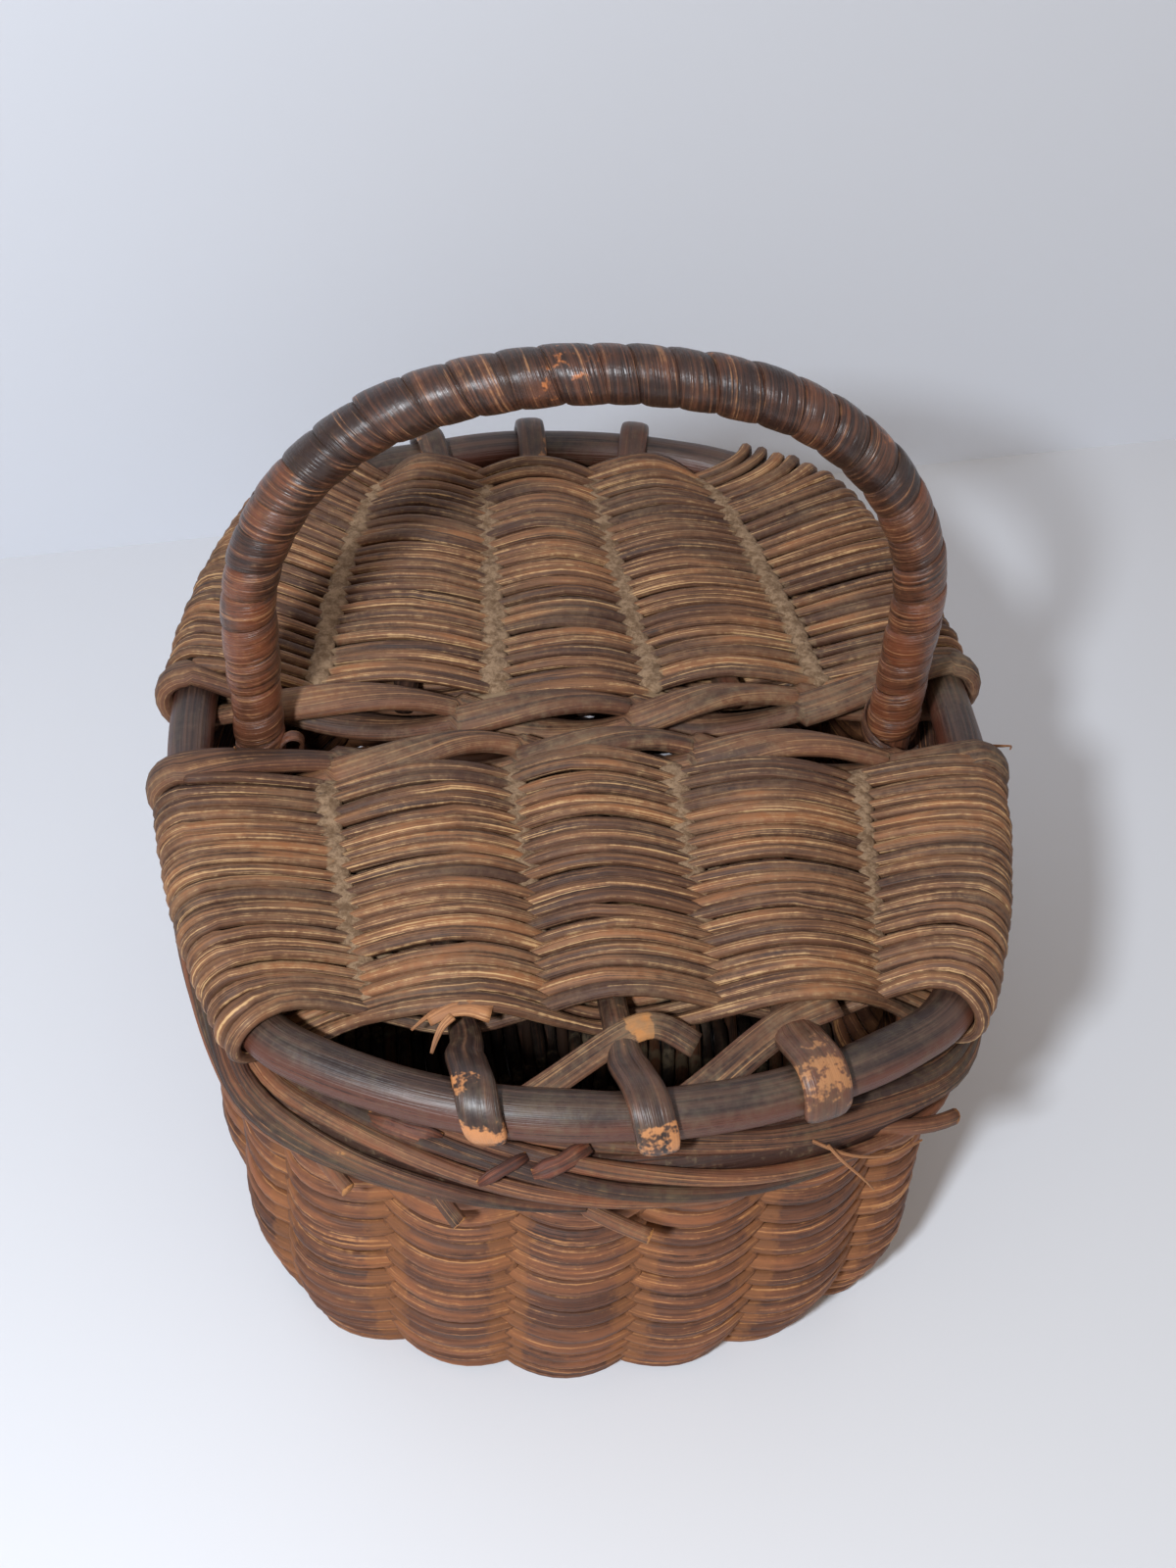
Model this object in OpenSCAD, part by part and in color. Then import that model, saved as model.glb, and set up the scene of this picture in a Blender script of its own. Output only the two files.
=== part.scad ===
// Oval willow creel with a wound bow handle and a captive lid
// The lid is one hoop with two woven halves. The bow stands in the slot between the halves,
// so the lid slides up the bow and stays on it. Front is -Y, up is +Z, the floor is z = 0.

/* [Lid hoop] */
// Half width of the hoop, from the middle of the creel to the rod's centre line
hoop_half_w = 105; // [97:1:120]
// Half length of the hoop, measured the same way
hoop_half_l = 131; // [122:1:150]
// Diameter of the hoop rod
hoop_d = 12; // [9:0.5:14]
// Radius of the hoop's four corners
corner_r = 29; // [26:1:38]
// How far each side swells beyond the corners
side_bulge = 17; // [13:0.5:22]
// How far each end swells beyond the corners
end_bulge = 16.5; // [13:0.5:22]
// Thickness of the strands wrapped round the hoop
wrap_t = 4.4; // [3:0.2:5.4]

/* [Lid weave] */
// Half thickness of the weave between two stakes
valley_t = 3; // [2.4:0.2:4]
// Half thickness of the weave over a stake
hump_t = 6.6; // [5.6:0.2:8]
// Half width of the hump over a stake
hump_half_w = 21; // [14:1:26]
// Diameter of the lid stakes
lid_stake_d = 6; // [4:0.5:7]
// Distance from the hoop's front back to the front weave's last strand
front_weave_back = 27; // [27:1:39]
// Distance from the hoop's rear back to the rear weave's last strand
rear_weave_back = 20; // [19:1:33]
// Spacing of the strands that show over a stake
lid_row_pitch = 4.4; // [3.8:0.2:6]
// Depth of the furrows between those strands
lid_row_depth = 1.8; // [1:0.1:2.2]
// Places of the front stakes across the slot edge
front_stake_in = [-42, 0, 49]; // [-60:1:60]
// Places of the front stakes across the hoop
front_stake_out = [-34, 4, 46]; // [-60:1:60]
// Places of the rear stakes across the slot edge
rear_stake_in = [-48, 2, 44]; // [-60:1:60]
// Places of the rear stakes across the hoop
rear_stake_out = [-38, -6, 27]; // [-60:1:60]

/* [Stake ends] */
// Width of the flattened stake end that bends over the hoop
tongue_w = 12; // [8:0.5:15]
// Thickness of the flattened stake end
tongue_t = 3.8; // [2.5:0.1:4.5]
// How far past the hoop's outside the cut end turns down
tongue_drop = 10; // [0:5:40]
// Run of the front ends from the weave up over the hoop
front_climb = 17; // [15:0.5:17]
// Run of the rear ends from the weave up over the hoop
rear_climb = 12.5; // [11:0.5:14]

/* [Slot] */
// Gap between the two halves in the middle
slot_mid_gap = 6.4; // [5:0.2:10]
// Half width of the slot beside the bow's legs
slot_leg_half = 10.5; // [9.9:0.1:12]
// Radius of the twisted strands along the slot edge
twist_r = 4.2; // [3.2:0.1:5]

/* [Basket wall] */
// Height of the woven wall
wall_h = 104; // [84:1:125]
// Swell of the wall's rim beyond the hoop's centre line
rim_swell = 1; // [0:0.25:3]
// Height of the straight band under the rim
rim_band = 20; // [18:1:30]
// Thickness of the wall at a stake
wall_t = 13; // [12:0.5:16]
// Depth of the valleys between two stakes
scallop = 3.6; // [1:0.2:4.5]
// Swell of the belly beyond the rim
belly_swell = 1.4; // [0:0.2:4]
// Height of the belly above the floor
belly_h = 38; // [30:1:50]
// How far the wall draws in from the rim where it meets the floor
foot_inset = 8; // [6:0.5:12]
// Width of the wall's ring on the floor
foot_w = 7.5; // [6.5:0.5:10]
// Number of upright stakes in the wall
stake_count = 24; // [20:2:28]
// Shift of the stakes along the wall from the middle of the front
stake_shift = -8; // [-12:1:12]
// Diameter of the wall stakes
wall_stake_d = 5; // [4:0.25:5.5]
// Number of woven rows in the wall
row_count = 30; // [24:1:34]
// How far a row that passes inside a stake lies behind the rows outside it
row_depth = 2.6; // [1:0.2:3.2]

/* [Base] */
// Thickness of the base weave
base_t = 9; // [8.4:0.2:11]
// Diameter of the cross sticks
cross_stick_d = 7; // [6:0.25:7.5]
// Diameter of the long sticks that pierce the cross sticks
long_stick_d = 3.6; // [2.5:0.1:4]
// Spacing of the cross sticks
cross_pitch = 36; // [28:1:40]
// Spacing of the long sticks
long_pitch = 11; // [8:0.5:16]

/* [Border] */
// Diameter of the three rods of the rim
border_d = 8.4; // [7:0.2:9.4]
// Diameter of the rod laid outside below the rim
skirt_d = 7.6; // [6:0.2:8.6]
// Set of the rim's rods outside the middle of the wall
rim_out = 1.2; // [0:0.2:2]
// Diameter of the cut rod ends that stand out below the rim
cut_end_d = 6.8; // [5:0.2:8]
// Length of those cut ends
cut_end_len = 7; // [4:0.5:9]
// Places of the cut ends along the front, measured from its middle
cut_end_at = [-68, -46, -16, 78]; // [-90:1:90]

/* [Bow handle] */
// Diameter of the bow's core rod
bow_d = 12.4; // [11:0.2:13]
// Set of the bow forward of the middle
bow_forward = 4; // [0:0.5:8]
// Straight rise of each leg above the hoop
leg_rise = 41.7; // [34:0.5:60]
// Radius of the two shoulders
shoulder_r = 71; // [58:1:76]
// Angle that each shoulder turns before the crown
shoulder_a = 74; // [62:1:80]
// Height of the pointed leg ends above the floor
leg_foot_z = 23; // [21:1:40]
// Number of turns of the winding
wind_turns = 24; // [16:1:24]
// Thickness of the winding
wind_t = 1.7; // [1.2:0.1:2]
// Gap between two turns
wind_gap = 1.1; // [0.8:0.1:2]
// How far the winding runs down below the hoop
wind_drop = 8; // [4:0.5:9]

/* [Ties] */
// Thickness of the skein strips at the feet of the bow
tie_t = 1.1; // [0.6:0.1:1.2]
// Width of the skein strips
tie_w = 5; // [3:0.5:7]

/* [Clearances] */
// Gap between pieces that rest on one another
seat_gap = 0.3; // [0.2:0.05:0.4]
// Gap between a lid stake's end and the twisted edge
edge_gap = 0.9; // [0.8:0.1:1.4]
// Gap round a stick in its weave
bore_gap = 0.15; // [0.1:0.05:0.25]

/* [Hidden] */
$fn = 48;
arc_fn = 240;
rod_fn = 48;
far = 400;
tiny = 0.01;
seam_len = 0.6;
seam_rise = 0.02;
bend_rise = 12;
foot_round = 1.8;
flank_share = 0.27;
furrow_sweep = 24;
groove_lip = 0.6;
bore_over = 3;
bend_lap = 1.5;

// Eight-arc oval: two side arcs, two end arcs and four corners
corner_x = hoop_half_w - corner_r - side_bulge;
corner_y = hoop_half_l - corner_r - end_bulge;
side_r = (pow(corner_r + side_bulge, 2) + pow(corner_y, 2) - pow(corner_r, 2)) / (2 * side_bulge);
end_r = (pow(corner_r + end_bulge, 2) + pow(corner_x, 2) - pow(corner_r, 2)) / (2 * end_bulge);
side_cx = hoop_half_w - side_r;
end_cy = hoop_half_l - end_r;
side_a = atan2(corner_y, corner_x - side_cx);
end_a = atan2(corner_y - end_cy, corner_x);
side_len = side_r * side_a * PI / 180;
corner_len = corner_r * (end_a - side_a) * PI / 180;
end_len = end_r * (90 - end_a) * PI / 180;
quarter_len = side_len + corner_len + end_len;
oval_len = 4 * quarter_len;

function arc_pt(cx, cy, r, a) = [cx + r * cos(a), cy + r * sin(a)];
function deg(length, r) = length / r * 180 / PI;
function quarter_pt(s, e) =
    s < side_len ? arc_pt(side_cx, 0, side_r + e, deg(s, side_r))
    : s < side_len + corner_len
        ? arc_pt(corner_x, corner_y, corner_r + e, side_a + deg(s - side_len, corner_r))
        : arc_pt(0, end_cy, end_r + e, end_a + deg(s - side_len - corner_len, end_r));
function wrap_len(s) = s - oval_len * floor(s / oval_len);
// Point at length s along the hoop's oval, counted from +X towards +Y, and e outside it
function oval_pt(s, e) =
    let(u = wrap_len(s), k = floor(u / quarter_len), v = u - k * quarter_len)
    let(p = quarter_pt(k % 2 == 0 ? v : quarter_len - v, e))
    [(k == 1 || k == 2) ? -p.x : p.x, k >= 2 ? -p.y : p.y];
// Distance from the middle to the hoop's centre line at a place x across an end
function end_y(x) = end_cy + sqrt(pow(end_r, 2) - pow(x, 2));

// Rim: two rods side by side on the wall, one on top, and a skirt rod outside below
hoop_r = hoop_d / 2;
wrap_r = hoop_r + wrap_t;
border_r = border_d / 2;
skirt_r = skirt_d / 2;
rod_step = border_d + seat_gap;
rim_e = rim_swell - wall_t / 2 + border_r + rim_out;
rim_outer_e = rim_e + rod_step / 2;
rim_inner_e = rim_e - rod_step / 2;
rim_z = wall_h + seat_gap + border_r;
rim_top_z = rim_z + rod_step * sqrt(3) / 2;
skirt_e = rim_swell + seat_gap + skirt_r;
skirt_step = border_r + skirt_r + seat_gap;
skirt_z = rim_z - sqrt(pow(skirt_step, 2) - pow(skirt_e - rim_outer_e, 2));

// Lid: its wrapped sides rest on the top rim rod
hoop_z = rim_top_z + border_r + seat_gap + wrap_r;
lid_stake_r = lid_stake_d / 2;
hump_r = (pow(hump_half_w, 2) + pow(hump_t, 2)) / (2 * hump_t);
front_weave_end = hoop_half_l - front_weave_back;
rear_weave_end = hoop_half_l - rear_weave_back;
bow_y = -bow_forward;

// Wall: levels of the closed shell, up the outside and down the inside
stake_pitch = oval_len / stake_count;
wall_in_e = rim_swell - wall_t;
wall_stake_r = wall_stake_d / 2;
groove_half = wall_stake_r + seat_gap;
groove_depth = wall_stake_d + 2 * seat_gap;
belly_e = rim_swell + belly_swell;
foot_e = rim_swell - foot_inset;
base_e = foot_e - foot_w;
bend_z = base_t + bend_rise;
first_stake = 3 * quarter_len + stake_shift;

// Bow: legs, shoulders and crown lie in one plane across the creel
bow_r = bow_d / 2;
leg_x = hoop_half_w + wall_in_e - seat_gap - bow_r;
spring_z = hoop_z + leg_rise;
shoulder_x = leg_x - shoulder_r;
crown_r = shoulder_r + shoulder_x / cos(shoulder_a);
crown_drop = shoulder_x * tan(shoulder_a);
wind_in_r = bow_r + seat_gap;
wind_out_r = wind_in_r + wind_t;
wind_leg = leg_rise + wind_drop;
shoulder_len = shoulder_r * shoulder_a * PI / 180;
crown_len = crown_r * 2 * (90 - shoulder_a) * PI / 180;
wind_len = 2 * wind_leg + 2 * shoulder_len + crown_len;
ring_count = 24;
wind_pitch = wind_len / (wind_turns + 1);
wind_half = (wind_pitch - wind_gap) / 2;

// Slot edges: flat arcs that come closest in the middle
mid_off = slot_mid_gap / 2 + twist_r;
leg_off = slot_leg_half + twist_r;
edge_sag = leg_off - mid_off;
edge_r = (pow(leg_x, 2) + pow(edge_sag, 2)) / (2 * edge_sag);
edge_c = mid_off + edge_r;

// A thin band that closes the seam between two lengths of a rod
module seam_band(rod_r) {
    cylinder(h = seam_len, r = rod_r + seam_rise, center = true);
}

// One arc of a round rod, turned about z, with a seam band where it starts
module rod_arc(cx, cy, r, rod_r, from, sweep) {
    translate([cx, cy, 0])
        rotate([0, 0, from]) {
            rotate_extrude(angle = sweep, $fn = arc_fn)
                translate([r, 0])
                    circle(rod_r, $fn = rod_fn);
            translate([r, 0, 0]) rotate([90, 0, 0]) seam_band(rod_r);
        }
}

// A round rod along the oval, e outside the hoop's centre line
module oval_rod(e, z, rod_r) {
    translate([0, 0, z])
        union() {
            for (turn = [0, 180]) rotate([0, 0, turn]) {
                rod_arc(side_cx, 0, side_r + e, rod_r, -side_a, 2 * side_a);
                rod_arc(corner_x, corner_y, corner_r + e, rod_r, side_a, end_a - side_a);
                rod_arc(0, end_cy, end_r + e, rod_r, end_a, 180 - 2 * end_a);
                rod_arc(-corner_x, corner_y, corner_r + e, rod_r, 180 - end_a, end_a - side_a);
            }
        }
}

// The area inside the oval, e outside the hoop's centre line
module oval_area(e) {
    square([2 * corner_x, 2 * corner_y], center = true);
    for (mx = [1, -1]) for (my = [1, -1]) translate([mx * corner_x, my * corner_y]) circle(corner_r + e, $fn = arc_fn);
    side_mid = -side_cx * tan(side_a);
    end_mid = -end_cy / tan(end_a);
    for (turn = [0, 180]) rotate(turn) {
        intersection() {
            translate([side_cx, 0]) circle(side_r + e, $fn = arc_fn);
            polygon([[0, -side_mid], arc_pt(side_cx, 0, far + side_r, -side_a),
                     arc_pt(side_cx, 0, far + side_r, side_a), [0, side_mid]]);
        }
        intersection() {
            translate([0, end_cy]) circle(end_r + e, $fn = arc_fn);
            polygon([[end_mid, 0], arc_pt(0, end_cy, far + end_r, end_a),
                     arc_pt(0, end_cy, far + end_r, 180 - end_a), [-end_mid, 0]]);
        }
    }
}

module hoop_bore() {
    oval_rod(0, hoop_z, hoop_r + bore_gap);
}

// A straight round rod between two points
module rod_between(a, b, r) {
    d = b - a;
    translate(a)
        rotate([0, acos(d.z / norm(d)), atan2(d.y, d.x)])
            cylinder(h = norm(d), r = r);
}

// Base
module cross_stick_rods(r) {
    for (k = [-2:2]) translate([-far / 2, k * cross_pitch, base_t / 2]) rotate([0, 90, 0]) cylinder(h = far, r = r);
}

module long_stick_rods(r) {
    for (k = [-1:1]) translate([k * long_pitch, far / 2, base_t / 2]) rotate([90, 0, 0]) cylinder(h = far, r = r);
}

module base_prism(inset) {
    linear_extrude(base_t) oval_area(base_e - seat_gap - inset);
}

module base_cross_sticks() {
    color("saddlebrown")
        difference() {
            intersection() {
                cross_stick_rods(cross_stick_d / 2);
                base_prism(seat_gap);
            }
            long_stick_rods(long_stick_d / 2 + bore_gap);
        }
}

module base_long_sticks() {
    color("sienna")
        intersection() {
            long_stick_rods(long_stick_d / 2);
            base_prism(seat_gap);
        }
}

module base_weave() {
    color("peru")
        difference() {
            base_prism(0);
            cross_stick_rods(cross_stick_d / 2 + bore_gap);
            long_stick_rods(long_stick_d / 2 + bore_gap);
        }
}

// Wall
// Columns of the shell within one stake's share, as distances from that stake
outer_steps = [-stake_pitch / 2, -flank_share * stake_pitch, 0, flank_share * stake_pitch];
inner_steps = [-stake_pitch / 2, -flank_share * stake_pitch, -groove_half - groove_lip, -groove_half,
               groove_half, groove_half + groove_lip, flank_share * stake_pitch];
// Height of a level: the floor, each row's middle, and the rim
function row_z(j) = j < 0 ? 0 : j == row_count ? wall_h : (j + 0.5) * wall_h / row_count;
function outer_e(z) =
    z < belly_h ? belly_e - (belly_e - foot_e) * pow(1 - z / belly_h, foot_round)
    : rim_swell + belly_swell * max(0, wall_h - rim_band - z) / (wall_h - rim_band - belly_h);
function valley_depth(z) =
    scallop * min(1, 0.25 + 3 * z / belly_h, 1 - 0.4 * (z - wall_h + rim_band) / rim_band);
// A row lies behind the one above it at every other stake
function row_set(j, k, d) =
    j < 0 || j == row_count || (j + k) % 2 == 0 ? 0 : row_depth * pow(cos(180 * d / stake_pitch), 2);
function outer_pt(j, k, d) =
    let(z = row_z(j), e = outer_e(z) - valley_depth(z) * (1 - cos(360 * d / stake_pitch)) / 2 - row_set(j, k, d))
    let(p = oval_pt(first_stake + k * stake_pitch + d, e)) [p.x, p.y, z];
// Inside, the groove's columns lie square to their stake, and all others follow the oval
function inner_pt(level, k, d) =
    let(square_on = abs(d) <= groove_half + groove_lip + tiny)
    let(in_groove = abs(d) <= groove_half + tiny ? 1 : 0, s = first_stake + k * stake_pitch + (square_on ? 0 : d))
    let(e = level[1] + level[2] * in_groove, p = oval_pt(s, e), out = oval_pt(s, e + 1) - p)
    let(aside = square_on ? d : 0) [p.x - out.y * aside, p.y + out.x * aside, level[0]];
inner_levels = [[wall_h, wall_in_e, groove_depth], [belly_h, wall_in_e, groove_depth],
                [bend_z, wall_in_e, groove_depth], [base_t, base_e, 0], [0, base_e, 0]];

// Faces between two rings of n points that start at a and b
function ring_faces(a, b, n) =
    [for (i = [0:n - 1]) let(i2 = (i + 1) % n) for (f = [[a + i, b + i2, a + i2], [a + i, b + i, b + i2]]) f];
// Faces between a ring of outer columns and a ring of inner columns, stake by stake
function rim_faces(a, b) =
    [for (k = [0:stake_count - 1])
        let(o = [for (i = [0:4]) a + (4 * k + i) % (4 * stake_count)],
            n = [for (i = [0:7]) b + (7 * k + i) % (7 * stake_count)])
        for (f = [[o[0], n[1], o[1]], [o[0], n[0], n[1]], [o[1], n[1], n[2]], [o[1], n[2], n[3]], [o[1], n[3], o[2]],
                  [o[2], n[3], n[4]], [o[2], n[4], o[3]], [o[3], n[4], n[5]], [o[3], n[5], n[6]],
                  [o[3], n[7], o[4]], [o[3], n[6], n[7]]]) f];

module side_weave() {
    outer_n = 4 * stake_count;
    inner_n = 7 * stake_count;
    levels = row_count + 2;
    last = len(inner_levels) - 1;
    inner_at = levels * outer_n;
    points = concat(
        [for (j = [-1:row_count]) for (k = [0:stake_count - 1]) for (d = outer_steps) outer_pt(j, k, d)],
        [for (level = inner_levels) for (k = [0:stake_count - 1]) for (d = inner_steps) inner_pt(level, k, d)]);
    outside = [for (j = [0:levels - 2]) for (f = ring_faces(j * outer_n, (j + 1) * outer_n, outer_n)) f];
    inside = [for (j = [0:last - 1])
        for (f = ring_faces(inner_at + j * inner_n, inner_at + (j + 1) * inner_n, inner_n)) f];
    rim = rim_faces((levels - 1) * outer_n, inner_at);
    floor_ring = [for (f = rim_faces(0, inner_at + last * inner_n)) [f[0], f[2], f[1]]];
    color("peru") polyhedron(points, concat(outside, rim, inside, floor_ring));
}

// Each stake stands in its groove and bends in along the groove's foot
module side_stakes() {
    stake_e = wall_in_e + seat_gap + wall_stake_r;
    run = [wall_in_e + groove_depth - base_e, bend_rise];
    dir = run / norm(run);
    heel = [base_e, base_t] + (wall_stake_r + seat_gap) * [-dir.y, dir.x] + seat_gap * dir;
    knee_z = heel.y + (stake_e - heel.x) * dir.y / dir.x;
    color("saddlebrown")
        for (k = [0:stake_count - 1]) {
            s = first_stake + k * stake_pitch;
            top = oval_pt(s, stake_e);
            toe = oval_pt(s, heel.x);
            knee = [top.x, top.y, knee_z];
            rod_between(knee, [top.x, top.y, wall_h - seat_gap], wall_stake_r);
            translate(knee) sphere(wall_stake_r + seam_rise);
            rod_between([toe.x, toe.y, heel.y], knee, wall_stake_r);
        }
}

// Border
module border_skirt_rod() {
    color("saddlebrown") oval_rod(skirt_e, skirt_z, skirt_r);
}

module border_outer_rod() {
    color("sienna") oval_rod(rim_outer_e, rim_z, border_r);
}

module border_inner_rod() {
    color("saddlebrown") oval_rod(rim_inner_e, rim_z, border_r);
}

module border_top_rod() {
    color("sienna") oval_rod(rim_e, rim_top_z, border_r);
}

module border_cut_ends() {
    cut_r = cut_end_d / 2;
    end_z = skirt_z - skirt_r - seat_gap - cut_r;
    color("tan")
        for (at = cut_end_at) {
            root = oval_pt(3 * quarter_len + at, rim_swell + seat_gap);
            tip = oval_pt(3 * quarter_len + at, rim_swell + seat_gap + cut_end_len);
            rod_between([root.x, root.y, end_z], [tip.x, tip.y, end_z], cut_r);
        }
}

// Bow handle
// Point of the bow at length s from the start of the winding, off outside its centre line
function bow_pt(s, off) =
    s < wind_leg ? [leg_x + off, hoop_z - wind_drop + s]
    : s < wind_leg + shoulder_len
        ? arc_pt(shoulder_x, spring_z, shoulder_r + off, deg(s - wind_leg, shoulder_r))
        : s < wind_leg + shoulder_len + crown_len
            ? arc_pt(0, spring_z - crown_drop, crown_r + off,
                     shoulder_a + deg(s - wind_leg - shoulder_len, crown_r))
            : s < wind_len - wind_leg
                ? arc_pt(-shoulder_x, spring_z, shoulder_r + off,
                         180 - shoulder_a + deg(s - wind_leg - shoulder_len - crown_len, shoulder_r))
                : [-leg_x - off, spring_z - (s - wind_len + wind_leg)];

module bow_arc(cx, cz, r, from, sweep) {
    translate([cx, bow_y, cz])
        rotate([90, 0, 0])
            rod_arc(0, 0, r, bow_r, from, sweep);
}

module handle_bow() {
    point_len = 12;
    color("sienna") {
        for (side = [1, -1]) translate([side * leg_x, bow_y, 0]) {
            translate([0, 0, leg_foot_z + point_len]) cylinder(h = spring_z - leg_foot_z - point_len, r = bow_r);
            translate([0, 0, leg_foot_z]) cylinder(h = point_len, r1 = bow_r / 2, r2 = bow_r);
        }
        bow_arc(shoulder_x, spring_z, shoulder_r, 0, shoulder_a);
        bow_arc(0, spring_z - crown_drop, crown_r, shoulder_a, 180 - 2 * shoulder_a);
        bow_arc(-shoulder_x, spring_z, shoulder_r, 180 - shoulder_a, shoulder_a);
        translate([-leg_x, bow_y, spring_z]) seam_band(bow_r);
    }
}

// Cross-section of the winding strip, as lengths along the bow and radii round it
wind_brow = [0.75 * wind_half, wind_in_r + 0.7 * wind_t];
wind_section = [
    [-wind_half, wind_in_r], [0, wind_in_r], [wind_half, wind_in_r],
    wind_brow, [0, wind_out_r], [-wind_brow[0], wind_brow[1]]
];
function wind_pt(i, corner) =
    let(turn = 360 * i / ring_count, s = wind_half + wind_gap / 2 + wind_pitch * i / ring_count)
    let(p = bow_pt(s + corner[0], corner[1] * cos(turn)))
    [p.x, bow_y + corner[1] * sin(turn), p.y];
wind_gaps = [for (i = [0:ring_count * (wind_turns - 1)])
    norm(wind_pt(i, [wind_half, wind_in_r]) - wind_pt(i + ring_count, [-wind_half, wind_in_r]))];
least_gap = min(wind_gaps);
echo(winding_least_gap = least_gap);

module handle_winding() {
    rings = ring_count * wind_turns;
    sides = len(wind_section);
    points = [for (i = [0:rings]) for (corner = wind_section) wind_pt(i, corner)];
    skin = [for (i = [0:rings - 1]) for (k = [0:sides - 1])
        let(k2 = (k + 1) % sides, a = i * sides + k, b = i * sides + k2)
        for (f = [[a, b + sides, b], [a, a + sides, b + sides]]) f];
    last = rings * sides;
    caps = [for (k = [2:sides - 1])
        let(k2 = (k + 1) % sides)
        for (f = [[1, k, k2], [last + 1, last + k2, last + k]]) f];
    color("maroon") polyhedron(points, concat(skin, caps));
}

// A skein strip wound aslant round the foot of one leg
module tie_band(tilt) {
    inner = wind_out_r + bore_gap;
    span = 6 * tie_w;
    intersection() {
        difference() {
            cylinder(h = span, r = inner + tie_t, center = true);
            cylinder(h = span + 2, r = inner, center = true);
        }
        rotate([tilt, 0, 0]) cube([far, far, tie_w], center = true);
    }
}

module handle_tie_right() {
    color("peru") translate([leg_x, bow_y, hoop_z]) tie_band(-24);
}

module handle_tie_left() {
    curl_r = 3.4;
    curl_x = wind_out_r + bore_gap + curl_r;
    color("peru")
        translate([-leg_x, bow_y, hoop_z]) {
            intersection() {
                tie_band(18);
                translate([0, -far / 2, -far / 2]) cube(far);
            }
            translate([curl_x, tie_w / 2, 0])
                rotate([90, 0, 0])
                    difference() {
                        cylinder(h = tie_w, r = curl_r);
                        translate([0, 0, -1]) cylinder(h = tie_w + 2, r = curl_r - tie_t);
                        translate([0, -far, -1]) cube([far, far, tie_w + 2]);
                    }
        }
}

// Lid
module lid_hoop() {
    color("dimgray") oval_rod(0, hoop_z, hoop_r);
}

// Where a stake starts at the slot edge and where it starts to climb over the hoop
function edge_y(x) = edge_c - sqrt(pow(edge_r, 2) - pow(x, 2));
function stake_start(x, half) = [x, bow_y + half * (edge_y(x) + twist_r + edge_gap)];
function stake_foot(x, half) = [x, half * end_y(x)];
function hoop_out(x, half) = [x, half * (end_y(x) - end_cy)] / end_r;
function stake_bend(x, half, climb) = stake_foot(x, half) - climb * hoop_out(x, half);

module stake_rod(x_in, x_out, half, climb, r, over) {
    a = stake_start(x_in, half);
    b = stake_bend(x_out, half, climb);
    translate([a.x, a.y, hoop_z])
        rotate([0, 0, atan2(b.y - a.y, b.x - a.x)])
            rotate([0, 90, 0])
                cylinder(h = norm(b - a) + over, r = r);
}

// The flattened end: a ramp up to the hoop and a band bent over it
module stake_tongue(climb) {
    inner = hoop_r + seat_gap;
    mid = inner + tongue_t / 2;
    lift = acos(mid / climb);
    ramp = climb * sin(lift);
    rotate([90, 0, 0]) mirror([1, 0, 0]) rotate([0, 0, lift]) {
        translate([inner, -ramp, -tongue_w / 2]) cube([tongue_t, ramp + seam_len / 2, tongue_w]);
        rotate_extrude(angle = 180 + tongue_drop - lift, $fn = arc_fn)
            translate([inner, -tongue_w / 2])
                square([tongue_t, tongue_w]);
    }
}

module lid_stake(x_in, x_out, half, climb) {
    foot = stake_foot(x_out, half);
    out = hoop_out(x_out, half);
    stake_rod(x_in, x_out, half, climb, lid_stake_r, bend_lap);
    translate([foot.x, foot.y, hoop_z]) rotate([0, 0, atan2(out.y, out.x)]) stake_tongue(climb);
}

module front_stake_left() {
    color("saddlebrown") lid_stake(front_stake_in[0], front_stake_out[0], -1, front_climb);
}

module front_stake_middle() {
    color("saddlebrown") lid_stake(front_stake_in[1], front_stake_out[1], -1, front_climb);
}

module front_stake_right() {
    color("saddlebrown") lid_stake(front_stake_in[2], front_stake_out[2], -1, front_climb);
}

module rear_stake_left() {
    color("saddlebrown") lid_stake(rear_stake_in[0], rear_stake_out[0], 1, rear_climb);
}

module rear_stake_middle() {
    color("saddlebrown") lid_stake(rear_stake_in[1], rear_stake_out[1], 1, rear_climb);
}

module rear_stake_right() {
    color("saddlebrown") lid_stake(rear_stake_in[2], rear_stake_out[2], 1, rear_climb);
}

// The hump of weave over one stake: a lens-shaped bar along it
module hump_bar(x_in, x_out, half) {
    a = stake_start(x_in, half);
    b = stake_bend(x_out, half, 0);
    translate([a.x, a.y, hoop_z])
        rotate([0, 0, atan2(b.y - a.y, b.x - a.x)])
            rotate([0, 90, 0])
                translate([0, 0, -20])
                    linear_extrude(norm(b - a) + 20)
                        intersection() {
                            translate([hump_r - hump_t, 0]) circle(hump_r, $fn = 96);
                            translate([hump_t - hump_r, 0]) circle(hump_r, $fn = 96);
                        }
}

// Furrows across one hump, as deep all over its round top
module hump_furrows(x_in, x_out, half, shift) {
    a = stake_start(x_in, half);
    b = stake_bend(x_out, half, 0);
    count = floor(norm(b - a) / lid_row_pitch) - 2;
    wide = lid_row_depth / 2;
    translate([a.x, a.y, hoop_z])
        rotate([0, 0, atan2(b.y - a.y, b.x - a.x)])
            rotate([0, 90, 0])
                for (k = [0:count]) translate([hump_r - hump_t, 0, (k + shift) * lid_row_pitch])
                    rotate([0, 0, 180 - furrow_sweep])
                        rotate_extrude(angle = 2 * furrow_sweep, $fn = arc_fn)
                            polygon([[hump_r - lid_row_depth, 0], [hump_r + 1, -wide], [hump_r + 1, wide]]);
}

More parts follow.
